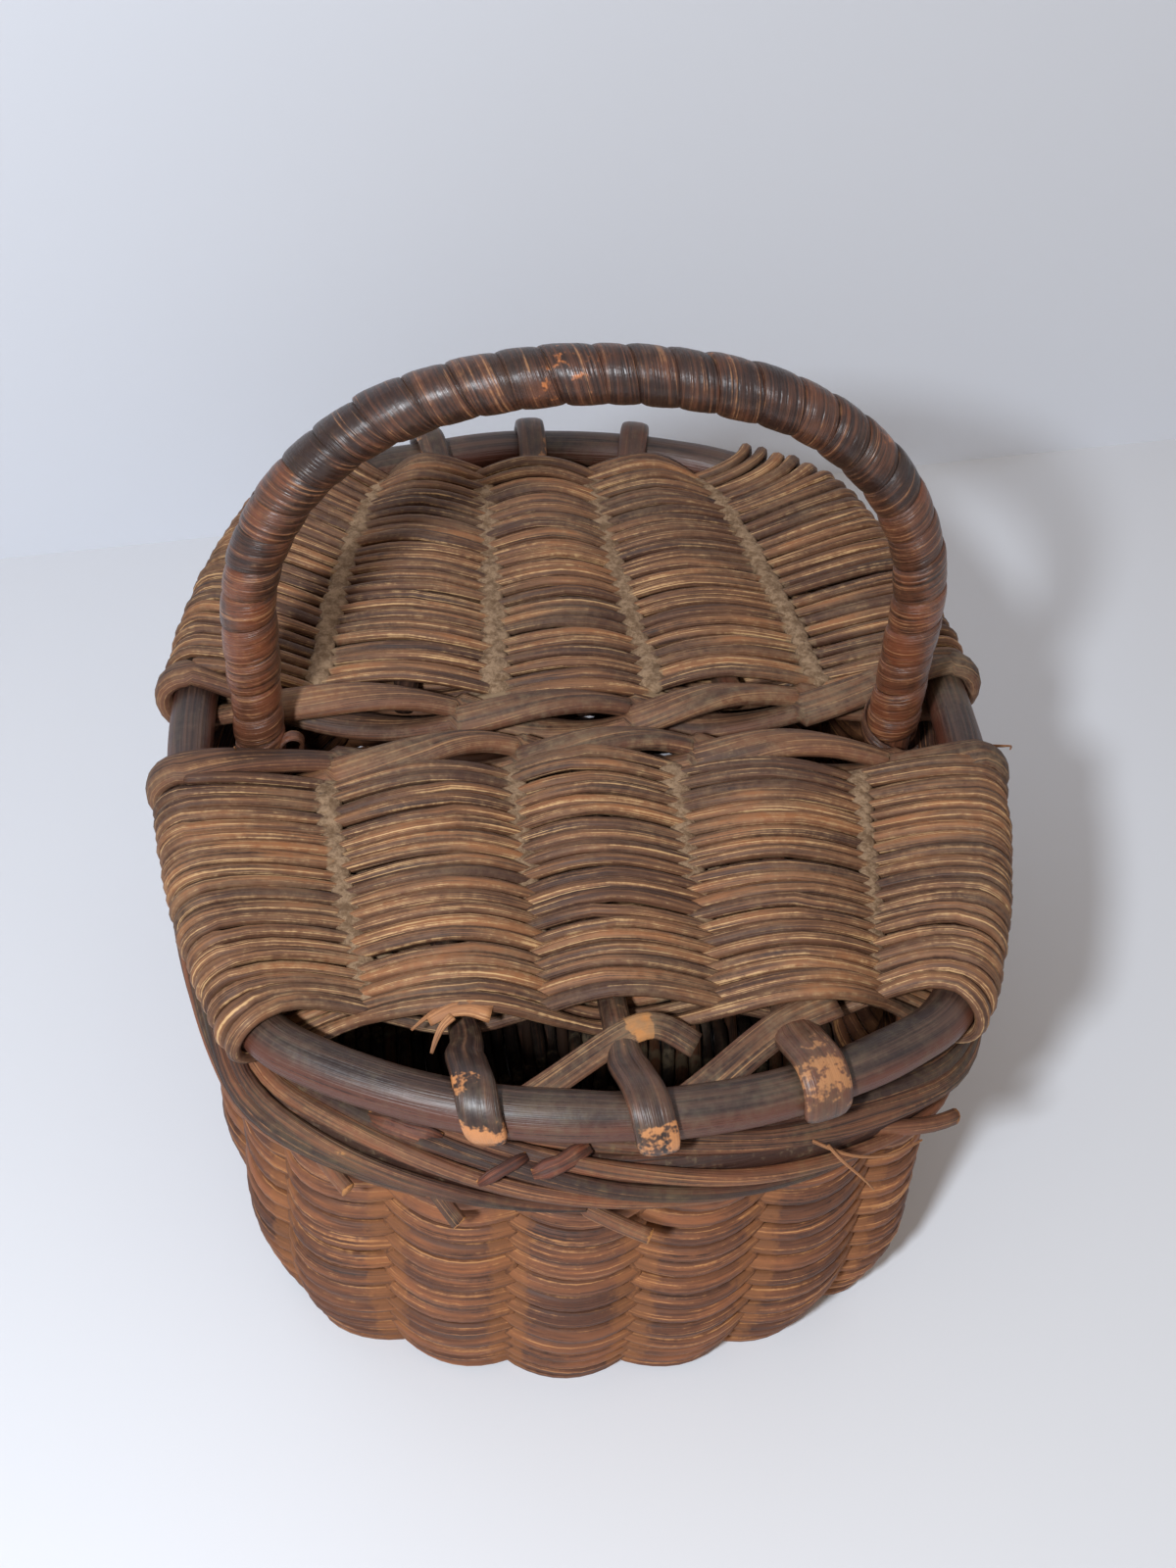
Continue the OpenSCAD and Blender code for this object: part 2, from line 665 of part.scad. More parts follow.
// One woven half: a plate with humps inside the hoop, wrapped round the hoop at both sides
module weave_half(stakes_in, stakes_out, half, reach, climb) {
    weave_edge_r = edge_r - twist_r - seat_gap;
    box_h = 2 * (wrap_r + 2);
    difference() {
        intersection() {
            union() {
                oval_rod(0, hoop_z, wrap_r);
                intersection() {
                    union() {
                        translate([-far / 2, -far / 2, hoop_z - valley_t]) cube([far, far, 2 * valley_t]);
                        for (k = [0:2]) hump_bar(stakes_in[k], stakes_out[k], half);
                    }
                    translate([0, 0, hoop_z - box_h / 2]) linear_extrude(box_h) oval_area(0);
                }
            }
            translate([0, bow_y + half * edge_c, hoop_z - box_h / 2])
                cylinder(h = box_h, r = weave_edge_r, $fn = arc_fn);
            translate([-far / 2, half > 0 ? 0 : -reach, hoop_z - box_h / 2]) cube([far, reach, box_h]);
        }
        hoop_bore();
        for (k = [0:2]) {
            stake_rod(stakes_in[k], stakes_out[k], half, climb, lid_stake_r + bore_gap, bore_over);
            hump_furrows(stakes_in[k], stakes_out[k], half, k == 1 ? 0.8 : 0.3);
        }
    }
}

module front_weave() {
    color("burlywood") weave_half(front_stake_in, front_stake_out, -1, front_weave_end, front_climb);
}

module rear_weave() {
    color("burlywood") weave_half(rear_stake_in, rear_stake_out, 1, rear_weave_end, rear_climb);
}

// The twisted strands along one slot edge, from hoop to hoop
module edge_twist(half) {
    spread = asin(hoop_half_w / edge_r);
    difference() {
        translate([0, bow_y + half * edge_c, hoop_z])
            rod_arc(0, 0, edge_r, twist_r, -half * 90 - spread, 2 * spread);
        hoop_bore();
    }
}

module front_edge_twist() {
    color("chocolate") edge_twist(-1);
}

module rear_edge_twist() {
    color("chocolate") edge_twist(1);
}

// Flat ends of the last strands, lying across the openings in front of the weave
module end_strip(a, b) {
    d = b - a;
    strip_w = 6;
    strip_t = 2;
    translate([a.x, a.y, hoop_z - strip_t / 2])
        rotate([0, 0, atan2(d.y, d.x)])
            translate([0, -strip_w / 2, 0])
                cube([norm(d), strip_w, strip_t]);
}

module front_end_strips() {
    low_aside = 10;
    high_aside = 8;
    stop_y = -front_weave_end - seat_gap;
    color("tan")
        difference() {
            for (k = [0, 1])
                end_strip([front_stake_out[k] + low_aside, -end_y(front_stake_out[k])],
                          [stake_bend(front_stake_out[k + 1], -1, front_climb).x - high_aside, stop_y + 1]);
            hoop_bore();
            translate([-far / 2, stop_y, hoop_z - far / 2]) cube(far);
        }
}

base_long_sticks();
base_cross_sticks();
base_weave();
side_stakes();
side_weave();
border_skirt_rod();
border_outer_rod();
border_inner_rod();
border_top_rod();
border_cut_ends();
handle_bow();
handle_winding();
handle_tie_left();
handle_tie_right();
lid_hoop();
front_stake_left();
front_stake_middle();
front_stake_right();
rear_stake_left();
rear_stake_middle();
rear_stake_right();
front_weave();
rear_weave();
front_edge_twist();
rear_edge_twist();
front_end_strips();
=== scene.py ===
"""Dressed scene of an old oval willow creel with a wound bow handle and a lid on one hoop.

Sizes are millimetres in the part's own frame (front is -Y, up is +Z, the floor is z = 0).
Meshes are written in metres, in that same frame.
"""

from __future__ import annotations

import logging
import math
from dataclasses import dataclass
from enum import Enum
from functools import lru_cache
from typing import Iterable, Iterator, Union

import bmesh
import bpy
import numpy as np
from mathutils import Matrix, Vector

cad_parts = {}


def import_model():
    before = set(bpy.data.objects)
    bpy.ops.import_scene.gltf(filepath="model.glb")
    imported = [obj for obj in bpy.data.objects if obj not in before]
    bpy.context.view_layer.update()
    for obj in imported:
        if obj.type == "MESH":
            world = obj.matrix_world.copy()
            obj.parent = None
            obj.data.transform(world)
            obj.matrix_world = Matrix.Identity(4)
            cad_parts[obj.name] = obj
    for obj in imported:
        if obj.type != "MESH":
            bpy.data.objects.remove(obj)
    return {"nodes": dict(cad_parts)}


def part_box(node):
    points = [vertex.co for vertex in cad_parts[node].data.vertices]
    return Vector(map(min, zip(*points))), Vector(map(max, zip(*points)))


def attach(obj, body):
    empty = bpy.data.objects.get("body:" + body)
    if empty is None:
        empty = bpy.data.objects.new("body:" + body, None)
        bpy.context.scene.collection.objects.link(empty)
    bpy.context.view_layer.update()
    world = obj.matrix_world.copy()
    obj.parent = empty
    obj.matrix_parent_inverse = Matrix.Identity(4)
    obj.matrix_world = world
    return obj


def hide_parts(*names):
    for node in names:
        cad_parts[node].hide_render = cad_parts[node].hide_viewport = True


LOG = logging.getLogger("creel")
MM = 0.001
WELD_DISTANCE = 2e-7
UP = np.array([0.0, 0.0, 1.0])
Array = np.ndarray
Colour = tuple[float, float, float, float]
Tint = tuple[int, int, int]
Value = Union["Socket", float]
GRAIN_STEP, GRAIN_SPAN = 0.37, 11.0
CAP_WIDTH, CAP_REACH = 0.72, 0.7


def srgb(red: int, green: int, blue: int) -> Colour:
    """Turn an 8-bit screen colour into the linear colour that a shader takes, with alpha 1."""
    shares = (value / 255 for value in (red, green, blue))
    return (*(s / 12.92 if s <= 0.04045 else ((s + 0.055) / 1.055) ** 2.4 for s in shares), 1.0)


def unit(vectors: Array) -> Array:
    """Return the vectors (n, 3) scaled to length 1."""
    return vectors / np.maximum(np.linalg.norm(vectors, axis=-1, keepdims=True), 1e-9)


def upright(count: int) -> Array:
    """Return the upward direction, count times."""
    return np.tile(UP, (count, 1))


def travelled(points: Array) -> Array:
    """Return the length of a line up to each of its points (n, axes)."""
    return np.concatenate([[0.0], np.cumsum(np.linalg.norm(np.diff(points, axis=0), axis=1))])


def eased(points: Array, count: int, rounds: int) -> Array:
    """Run a line through points and round its corners.

    Args:
        points: The points (n, 3).
        count: Number of samples.
        rounds: How often each sample moves towards its neighbours.

    Returns:
        The samples (count, 3).
    """
    knots = np.asarray(points, dtype=float)
    place = np.linspace(0, len(knots) - 1, count)
    line = np.stack([np.interp(place, range(len(knots)), knots[:, axis]) for axis in range(3)], -1)
    for _ in range(rounds):
        line[1:-1] = (line[:-2] + 2 * line[1:-1] + line[2:]) / 4
    return line


def wobble(rng: np.random.Generator, count: int, knots: int, size: float, closed: bool = False) -> Array:
    """Make a smooth random line.

    Args:
        rng: Seeded source of numbers.
        count: Number of samples.
        knots: Number of random knots between which the line runs.
        size: Standard deviation at the knots.
        closed: Whether the end meets the start.

    Returns:
        The samples (count,).
    """
    values = rng.normal(0, size, knots + 1)
    if closed:
        values[-1] = values[0]
    place = np.linspace(0, knots, count, endpoint=not closed)
    low = np.minimum(place.astype(int), knots - 1)
    share = place - low
    share = share * share * (3 - 2 * share)
    return values[low] * (1 - share) + values[low + 1] * share


class Cap(Enum):
    """How the end of a strand is closed."""

    CUT = "cut flat"
    ROUND = "rounded"
    RING = "joined to its own start"


class Side(Enum):
    """One woven half of the lid, by the sign of y."""

    FRONT = -1
    REAR = 1


@dataclass(frozen=True)
class Oval:
    """The eight-arc oval that the hoop, rim and wall follow."""

    half_w: float = 105.0
    half_l: float = 131.0
    corner_r: float = 29.0
    side_bulge: float = 17.0
    end_bulge: float = 16.5

    @property
    def corner(self) -> tuple[float, float]:
        """Return the centre of the +X +Y corner."""
        return (self.half_w - self.corner_r - self.side_bulge, self.half_l - self.corner_r - self.end_bulge)

    def arc_r(self, bulge: float, half_chord: float) -> float:
        """Return the radius of the arc that stands out by a bulge between two corners."""
        return ((self.corner_r + bulge) ** 2 + half_chord ** 2 - self.corner_r ** 2) / (2 * bulge)

    @property
    def side_r(self) -> float:
        """Return the radius of the two side arcs."""
        return self.arc_r(self.side_bulge, self.corner[1])

    @property
    def end_r(self) -> float:
        """Return the radius of the two end arcs."""
        return self.arc_r(self.end_bulge, self.corner[0])

    @property
    def arcs(self) -> tuple[float, float, float, float]:
        """Return the side arc's and the end arc's limit angles, and the side and corner lengths."""
        side_a = math.atan2(self.corner[1], self.corner[0] - self.half_w + self.side_r)
        end_a = math.atan2(self.corner[1] - self.half_l + self.end_r, self.corner[0])
        return side_a, end_a, self.side_r * side_a, self.corner_r * (end_a - side_a)

    @property
    def quarter(self) -> float:
        """Return a quarter of the oval's length."""
        _, end_a, side_len, corner_len = self.arcs
        return side_len + corner_len + self.end_r * (math.pi / 2 - end_a)

    def samples(self, count: int) -> Array:
        """Return evenly spaced lengths round the oval, without the last."""
        return np.linspace(0, 4 * self.quarter, count, endpoint=False)

    def place(self, along: Array, out: Array | float, height: Array | float) -> tuple[Array, Array]:
        """Find points on the oval.

        Args:
            along: Length from +X towards +Y.
            out: Distance outside the oval.
            height: Height of the points.

        Returns:
            The points (n, 3) and the outward directions (n, 3).
        """
        side_a, end_a, side_len, corner_len = self.arcs
        wrapped = np.mod(along, 4 * self.quarter)
        number = np.minimum((wrapped // self.quarter).astype(int), 3)
        rest = wrapped - number * self.quarter
        rest = np.where(number % 2 == 0, rest, self.quarter - rest)
        cases = [rest < side_len, rest < side_len + corner_len]
        angle = np.select(cases, [rest / self.side_r, side_a + (rest - side_len) / self.corner_r],
                          end_a + (rest - side_len - corner_len) / self.end_r)
        radius = np.select(cases, [self.side_r, self.corner_r], self.end_r)
        mid_x = np.select(cases, [self.half_w - self.side_r, self.corner[0]], 0.0)
        mid_y = np.select(cases, [0.0, self.corner[1]], self.half_l - self.end_r)
        flip_x = np.where((number == 1) | (number == 2), -1.0, 1.0)
        flip_y = np.where(number >= 2, -1.0, 1.0)
        aim = np.stack([np.cos(angle) * flip_x, np.sin(angle) * flip_y, np.zeros_like(angle)], -1)
        spot = np.stack([(mid_x + (radius + out) * np.cos(angle)) * flip_x,
                         (mid_y + (radius + out) * np.sin(angle)) * flip_y,
                         np.zeros_like(angle) + height], -1)
        return spot, aim

    def wrap(self, along: Array, angle: Array, radius: Array | float, height: float) -> tuple[Array, Array]:
        """Find points round a rod that follows the oval.

        Args:
            along: Length from +X towards +Y.
            angle: Angle round the rod, 0 outward and a quarter turn upward.
            radius: Distance from the rod's middle.
            height: Height of the rod's middle.

        Returns:
            The points (n, 3) and the directions away from the rod (n, 3).
        """
        spot, aim = self.place(along, radius * np.cos(angle), height + radius * np.sin(angle))
        return spot, aim * np.cos(angle)[:, None] + UP * np.sin(angle)[:, None]

    def length_at(self, side: int, y: float) -> float:
        """Return the length along the oval at which the side (+1 right, -1 left) has that y."""
        samples = np.linspace(-self.quarter, self.quarter, 4001)
        spot, _ = self.place(samples, 0.0, 0.0)
        found = float(np.interp(y, spot[:, 1], samples))
        return found if side > 0 else 2 * self.quarter - found

    def end_y(self, x: float) -> float:
        """Return the y of the rear end arc at x."""
        return self.half_l - self.end_r + math.sqrt(self.end_r ** 2 - x ** 2)


OVAL = Oval()


@dataclass
class Strand:
    """One willow strand, given at stations along its middle line.

    Its shader reads lift (how far it stands out of the weave), tone (how light the bark is) and
    bare (how much bark is lost, with slant as the difference between its two edges).
    """

    centre: Array
    up: Array
    half_w: Array | float
    half_t: Array | float
    lift: Array | float = 1.0
    tone: Array | float = 0.5
    bare: Array | float = 0.0
    start: Cap = Cap.ROUND
    end: Cap = Cap.ROUND
    sides: int = 8
    boxy: float = 2.0
    slant: float = 0.0

    def stations(self) -> tuple[Array, ...]:
        """Lay out the stations with their frames, and close the ends.

        Returns:
            Middles, width directions, thickness directions (n, 3), the half sizes (n, 2), and the
            length, lift, tone and bareness (n, 4).
        """
        middle = self.centre
        count, ring = len(middle), self.start is Cap.RING
        run = unit(np.roll(middle, -1, 0) - np.roll(middle, 1, 0) if ring else np.gradient(middle, axis=0))
        wide = unit(np.cross(self.up, run))
        thick = np.cross(run, wide)
        size = np.stack([np.zeros(count) + value for value in (self.half_w, self.half_t)], -1)
        length = travelled(middle)
        facts = np.stack([length, *(np.zeros(count) + value for value in (self.lift, self.tone, self.bare))], -1)
        if ring:
            last = facts[:1].copy()
            last[0, 0] = length[-1] + np.linalg.norm(middle[0] - middle[-1])
            lines = [np.concatenate([line, line[:1]]) for line in (middle, wide, thick, size)]
            return *lines, np.concatenate([facts, last])
        caps = {Cap.ROUND: ([0.0, CAP_WIDTH], [1.0, CAP_REACH]), Cap.CUT: ([0.0], [0.0])}
        (shrink_in, shift_in), (shrink_out, shift_out) = caps[self.start], caps[self.end]
        pick = np.array([0] * len(shrink_in) + list(range(count)) + [count - 1] * len(shrink_out))
        by = np.array(shrink_in + [1.0] * count + shrink_out[::-1])[:, None]
        move = np.array([-step for step in shift_in] + [0.0] * count + shift_out[::-1])[:, None]
        middle = middle[pick] + run[pick] * move * size[pick][:, 1:]
        return middle, wide[pick], thick[pick], size[pick] * by, facts[pick]

    def skin(self) -> tuple[Array, Array, Array]:
        """Work out the strand's surface as a grid.

        Returns:
            Points (n, sides + 1, 3), UV (n, sides + 1, 2) and lift, tone, bareness (n, sides + 1, 3).
        """
        middle, wide, thick, size, facts = self.stations()
        turn = -math.pi / 2 + 2 * math.pi * np.arange(self.sides + 1) / self.sides
        across, over = (np.sign(wave) * np.abs(wave) ** (2 / self.boxy) for wave in (np.cos(turn), np.sin(turn)))
        points = (middle[:, None] + wide[:, None] * (size[:, :1] * across)[..., None]
                  + thick[:, None] * (size[:, 1:] * over)[..., None])
        share = np.broadcast_to(np.arange(self.sides + 1) / self.sides, points.shape[:2])
        length = np.broadcast_to(facts[:, :1] * MM, points.shape[:2])
        rest = np.repeat(facts[:, None, 1:], self.sides + 1, axis=1)
        rest[..., 2] += self.slant * across * (rest[..., 2] > 0.02)
        return points, np.stack([length, share], -1), rest


def dust_band(rng: np.random.Generator, points: Array, up: Array, half_w: float, half_t: float) -> Strand:
    """Lay an uneven band of dust through points.

    Args:
        rng: Seeded source of numbers.
        points: The valley's points (n, 3).
        up: The way out of the valley at each point (n, 3).
        half_w: Half of the band's mean width.
        half_t: Half of its mean thickness.

    Returns:
        The band.
    """
    count = len(points) * 2
    centre, aim = eased(points, count, 2), eased(up, count, 0)
    wide = half_w * (1 + wobble(rng, count, count // 3, 0.16))
    thick = half_t * (1 + wobble(rng, count, count // 4, 0.07))
    return Strand(centre, unit(aim), wide, thick, 0.2, 0.5, boxy=2.4, sides=10)


@lru_cache(maxsize=None)
def template(rows: int, sides: int) -> tuple[bpy.types.Mesh, Array, Array]:
    """Make, once, a grid of the given size.

    Args:
        rows: Number of stations.
        sides: Number of faces round the strand.

    Returns:
        The grid's mesh, and each vertex's station and place round the strand.
    """
    grid = bmesh.new()
    bmesh.ops.create_grid(grid, x_segments=rows - 1, y_segments=sides, size=1.0)
    mesh = bpy.data.meshes.new("grid")
    grid.to_mesh(mesh)
    grid.free()
    flat = np.empty(len(mesh.vertices) * 3)
    mesh.vertices.foreach_get("co", flat)
    share = (flat.reshape(-1, 3) + 1) / 2
    return mesh, np.rint(share[:, 0] * (rows - 1)).astype(int), np.rint(share[:, 1] * sides).astype(int)


@dataclass
class Piece:
    """One visible piece: strands of one finish, and the CAD nodes that they stand for."""

    name: str
    strands: Iterable[Strand]
    finish: str
    slot: str
    nodes: tuple[str, ...] = ()

    def mesh(self) -> bpy.types.Mesh:
        """Make the mesh: a grid for each strand, rolled round its middle line and welded."""
        work = bmesh.new()
        spots, maps, facts = [], [], []
        for number, strand in enumerate(self.strands):
            points, uv, rest = strand.skin()
            grid, station, turn = template(points.shape[0], strand.sides)
            work.from_mesh(grid)
            spots.append(points[station, turn])
            maps.append(uv[station, turn] + np.array([GRAIN_STEP * number % GRAIN_SPAN, 0.0]))
            facts.append(rest[station, turn])
        mesh = bpy.data.meshes.new(self.name)
        work.to_mesh(mesh)
        work.free()
        mesh.vertices.foreach_set("co", (np.concatenate(spots) * MM).astype(np.float32).ravel())
        joined = np.concatenate(facts).astype(np.float32)
        for index, title in enumerate(("lift", "tone", "bare")):
            layer = mesh.attributes.new(title, "FLOAT", "POINT")
            layer.data.foreach_set("value", np.ascontiguousarray(joined[:, index]))
        corner = np.empty(len(mesh.loops), dtype=np.int32)
        mesh.loops.foreach_get("vertex_index", corner)
        layer = mesh.uv_layers.new(name="Grain")
        layer.data.foreach_set("uv", np.concatenate(maps)[corner].astype(np.float32).ravel())
        weld = bmesh.new()
        weld.from_mesh(mesh)
        bmesh.ops.remove_doubles(weld, verts=weld.verts, dist=WELD_DISTANCE)
        bmesh.ops.recalc_face_normals(weld, faces=weld.faces)
        for face in weld.faces:
            face.smooth = True
        weld.to_mesh(mesh)
        weld.free()
        mesh.materials.append(material(self.finish))
        return mesh

    def build(self, body: str) -> None:
        """Build the piece, put it on its body and say so."""
        piece = bpy.data.objects.new(self.name, self.mesh())
        bpy.context.scene.collection.objects.link(piece)
        if self.nodes:
            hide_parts(*self.nodes)
        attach(piece, body)
        LOG.info("%s: %d faces on %s", piece.name, len(piece.data.polygons), body)


class Socket:
    """A shader value on which Python's operators add Math nodes."""

    def __init__(self, graph: Graph, link: bpy.types.NodeSocket) -> None:
        """Wrap one output.

        Args:
            graph: The graph that the node is in.
            link: The node's output.
        """
        self.graph = graph
        self.link = link

    def __add__(self, other: Value) -> Socket:
        """Return self + other."""
        return self.graph.maths("ADD", self, other)

    __radd__ = __add__

    def __sub__(self, other: Value) -> Socket:
        """Return self - other."""
        return self.graph.maths("SUBTRACT", self, other)

    def __rsub__(self, other: Value) -> Socket:
        """Return other - self."""
        return self.graph.maths("SUBTRACT", other, self)

    def __mul__(self, other: Value) -> Socket:
        """Return self * other."""
        return self.graph.maths("MULTIPLY", self, other)

    __rmul__ = __mul__

    def band(self, low: float, high: float) -> Socket:
        """Return 0 below low, 1 above high, and a smooth step between."""
        node = self.graph.node("MapRange", {"Value": self, "From Min": low, "From Max": high},
                               interpolation_type="SMOOTHSTEP", clamp=True)
        return self.graph.out(node, "Result")


class Graph:
    """The nodes of one material, or of the world."""

    def __init__(self, name: str, world: bool = False) -> None:
        """Start a material or a world without any node.

        Args:
            name: Name of the material or the world.
            world: Whether the nodes belong to a world.
        """
        self.owner = (bpy.data.worlds if world else bpy.data.materials).new(name)
        self.owner.use_nodes = True
        self.tree = self.owner.node_tree
        self.tree.nodes.clear()

    def node(self, kind: str, inputs: dict[str | int, object] | None = None, **settings: object) -> bpy.types.Node:
        """Add one node.

        Args:
            kind: The node's type, without the words that all types start with.
            inputs: Values or links of its sockets, by name, identifier or number.
            **settings: Its own settings.

        Returns:
            The node.
        """
        made = self.tree.nodes.new("ShaderNode" + kind)
        for title, value in settings.items():
            setattr(made, title, value)
        for title, value in (inputs or {}).items():
            target = self.find(made.inputs, title)
            if isinstance(value, Socket):
                self.tree.links.new(value.link, target)
            else:
                target.default_value = value
        return made

    @staticmethod
    def find(sockets: bpy.types.bpy_prop_collection, title: str | int) -> bpy.types.NodeSocket:
        """Find a node's socket by number, identifier or name."""
        return next((socket for socket in sockets if socket.identifier == title), None) or sockets[title]

    def out(self, node: bpy.types.Node, title: str | int = 0) -> Socket:
        """Wrap one output of a node, by name, identifier or number."""
        return Socket(self, self.find(node.outputs, title))

    def maths(self, operation: str, first: Value, second: Value) -> Socket:
        """Add a Math node and return its value."""
        return self.out(self.node("Math", {0: first, 1: second}, operation=operation))

    def place(self) -> Socket:
        """Return the object's own coordinates."""
        return self.out(self.node("TexCoord"), "Object")

    def attribute(self, title: str) -> Socket:
        """Return a value that the mesh carries at its points."""
        return self.out(self.node("Attribute", attribute_name=title), "Fac")

    def vector(self, x: Value, y: Value, z: Value) -> Socket:
        """Join three values to one vector."""
        return self.out(self.node("CombineXYZ", {0: x, 1: y, 2: z}))

    def noise(self, vector: Socket, scale: float, detail: float, rough: float) -> Socket:
        """Return noise, 0 to 1, at a scale."""
        return self.out(self.node("TexNoise", {"Vector": vector, "Scale": scale, "Detail": detail, "Roughness": rough}))

    def blend(self, share: Value, first: Socket | Tint, second: Socket | Tint) -> Socket:
        """Mix two colours, each a socket or a screen colour, by a share."""
        one, other = (side if isinstance(side, Socket) else srgb(*side) for side in (first, second))
        node = self.node("Mix", {"Factor_Float": share, "A_Color": one, "B_Color": other},
                         data_type="RGBA", clamp_factor=True)
        return self.out(node, "Result_Color")

    def mix(self, share: Socket, first: Socket, second: Socket) -> Socket:
        """Mix two shaders by a share."""
        return self.out(self.node("MixShader", {0: share, 1: first, 2: second}))

    def close(self, colour: Socket, rough: Value, height: Socket, depth: float,
              coat: float = 0.0, face_only: bool = False) -> bpy.types.Material:
        """Finish the material with one Principled shader.

        Args:
            colour: Base colour.
            rough: Roughness.
            height: Height for the bump.
            depth: Distance of the bump in metres.
            coat: Weight of the clear coat.
            face_only: Whether faces seen from behind are clear.

        Returns:
            The material.
        """
        bump = self.out(self.node("Bump", {"Strength": 1.0, "Distance": depth, "Height": height}))
        shader = self.out(self.node("BsdfPrincipled", {"Base Color": colour, "Roughness": rough, "Normal": bump,
                                                       "Specular IOR Level": 0.4, "Coat Weight": coat,
                                                       "Coat Roughness": 0.35}))
        if face_only:
            behind = self.out(self.node("NewGeometry"), "Backfacing")
            shader = self.mix(behind, shader, self.out(self.node("BsdfTransparent")))
        self.node("OutputMaterial", {0: shader})
        return self.owner


@dataclass(frozen=True)
class WillowFinish:
    """Aged willow: bark with lengthwise grain, pale streaks that are partly rubbed bark and partly painted highlight,
    bare patches and dust in the hollows (on the wall partly a painted orange highlight).

    The colours are the bark from dark to light, its warm tint, its flank tint (partly the bark's own reddish underside,
    partly painted shade on the strand's sides and underside), bare wood and dust. Shares and film say how much of each
    shows; streaks and rim draw pale lines, partly rubbed ridges or pale joints and partly painted highlight along the
    strand's upper edges; rim_at is the rim's place across the strand; along, across and patch_size scale the grain.
    """

    name: str
    dark: Tint
    middle: Tint
    light: Tint
    warm: Tint = (146, 84, 48)
    # flank tint: partly the bark's own reddish colour, partly painted shade on the strand's sides and underside
    flank_tint_and_shade: Tint = (112, 62, 40)
    bare: Tint = (190, 128, 72)
    dust: Tint = (134, 116, 90)
    warm_share: float = 0.5
    flank_tint_and_shade_share: float = 0.0
    dust_share: float = 0.7
    dust_from: float = 0.62
    dust_grit: float = 0.7
    film: float = 0.25
    streaks: float = 0.5
    rim: float = 0.0
    rim_at: float = 0.11
    patches: float = 0.0
    along: float = 32.0
    across: float = 18.0
    patch_size: float = 30.0
    rough: float = 0.62
    depth: float = 0.0005
    coat: float = 0.0

    def build(self) -> bpy.types.Material:
        """Make the material."""
        g = Graph(self.name)
        grain_map = g.node("SeparateXYZ", {0: g.out(g.node("UVMap", uv_map="Grain"))})
        u, v = g.out(grain_map, 0), g.out(grain_map, 1)
        tone, lift, bare = g.attribute("tone"), g.attribute("lift"), g.attribute("bare")
        place = g.place()
        patch = g.noise(g.vector(u * self.patch_size, v * 1.6, 0.0), 1.0, 3.0, 0.6)
        grain = g.noise(g.vector(u * self.along, v * self.across, 0.0), 1.0, 3.0, 0.65)
        hair = g.noise(g.vector(u * self.along * 0.8, v * self.across * 2.4, 5.0), 1.0, 2.0, 0.6)
        cloud = g.noise(place, 38.0, 3.0, 0.6)
        fleck = g.noise(place, 420.0, 2.0, 0.7)
        body = (patch * 0.35 + grain * 0.65 + (tone - 0.5) * 0.26).band(0.38, 0.60)
        colour = g.blend(body, self.dark, self.middle)
        ruddy = (patch * 0.6 + cloud * 0.4 + (tone - 0.5) * 0.2).band(0.50, 0.64)
        colour = g.blend(ruddy * body * self.warm_share, colour, self.warm)
        aside = g.maths("ABSOLUTE", v - 0.5, 0.0)
        # all but the strand's top takes the flank tint: partly real reddish bark, partly painted shade on the sides and
        # underside
        if self.flank_tint_and_shade_share:
            beside = (aside + (patch - 0.5) * 0.12).band(0.09, 0.2)
            colour = g.blend(beside * self.flank_tint_and_shade_share, colour, self.flank_tint_and_shade)
        # pale streaks: partly rubbed bark, partly painted highlight along the strand
        shine = (grain * 0.35 + hair * 0.5 + fleck * 0.15 + (tone - 0.5) * 0.06).band(0.545, 0.61)
        colour = g.blend(shine * self.streaks, colour, self.light)
        # rim: a pale line near the strand's upper edges, partly painted highlight and partly pale joints between skein
        # turns
        if self.rim:
            line = aside.band(self.rim_at - 0.04, self.rim_at)
            line = line * (1.0 - aside.band(self.rim_at + 0.01, self.rim_at + 0.05))
            line = line * (patch * 0.5 + hair * 0.3 + fleck * 0.2).band(0.52, 0.64)
            colour = g.blend(line * self.rim, colour, self.light)
        # dark broken lines along the grain: partly cracks, partly painted shade of the gaps between strands
        crack_and_gap_shade = (hair * 0.6 + patch * 0.25 + fleck * 0.15).band(0.455, 0.37)
        colour = g.blend(crack_and_gap_shade * 0.8, colour, (34, 21, 16))
        if self.patches:
            worn_from = 0.66 - self.patches * 0.16
            worn = (cloud * 0.45 + patch * 0.35 + fleck * 0.2).band(worn_from, worn_from + 0.03)
            colour = g.blend(worn * 0.8, colour, self.bare)
        ragged = (patch * 0.5 + fleck * 0.5 - 0.5) * 0.9 * (1.0 - (bare - 0.5).band(0.3, 0.5))
        colour = g.blend((bare + ragged).band(0.47, 0.55), colour, self.bare)
        # colour in the hollows: dust, and with the wall's orange setting partly a painted highlight in the valleys
        hollow = 1.0 - lift + (cloud - 0.5) * 0.4 + (fleck - 0.5) * self.dust_grit
        hollow = hollow.band(self.dust_from, self.dust_from + 0.28)
        film = (cloud * 0.6 + fleck * 0.4).band(0.42, 0.72) * self.film
        dusty = g.maths("MAXIMUM", hollow * self.dust_share, film)
        colour = g.blend(dusty, colour, self.dust)
        rough = g.maths("MINIMUM", self.rough + dusty * 0.3 + (grain - 0.5) * 0.25, 0.95)
        height = grain * 0.7 + hair * 0.35 + fleck * 0.2
        return g.close(colour, rough, height, self.depth, self.coat)


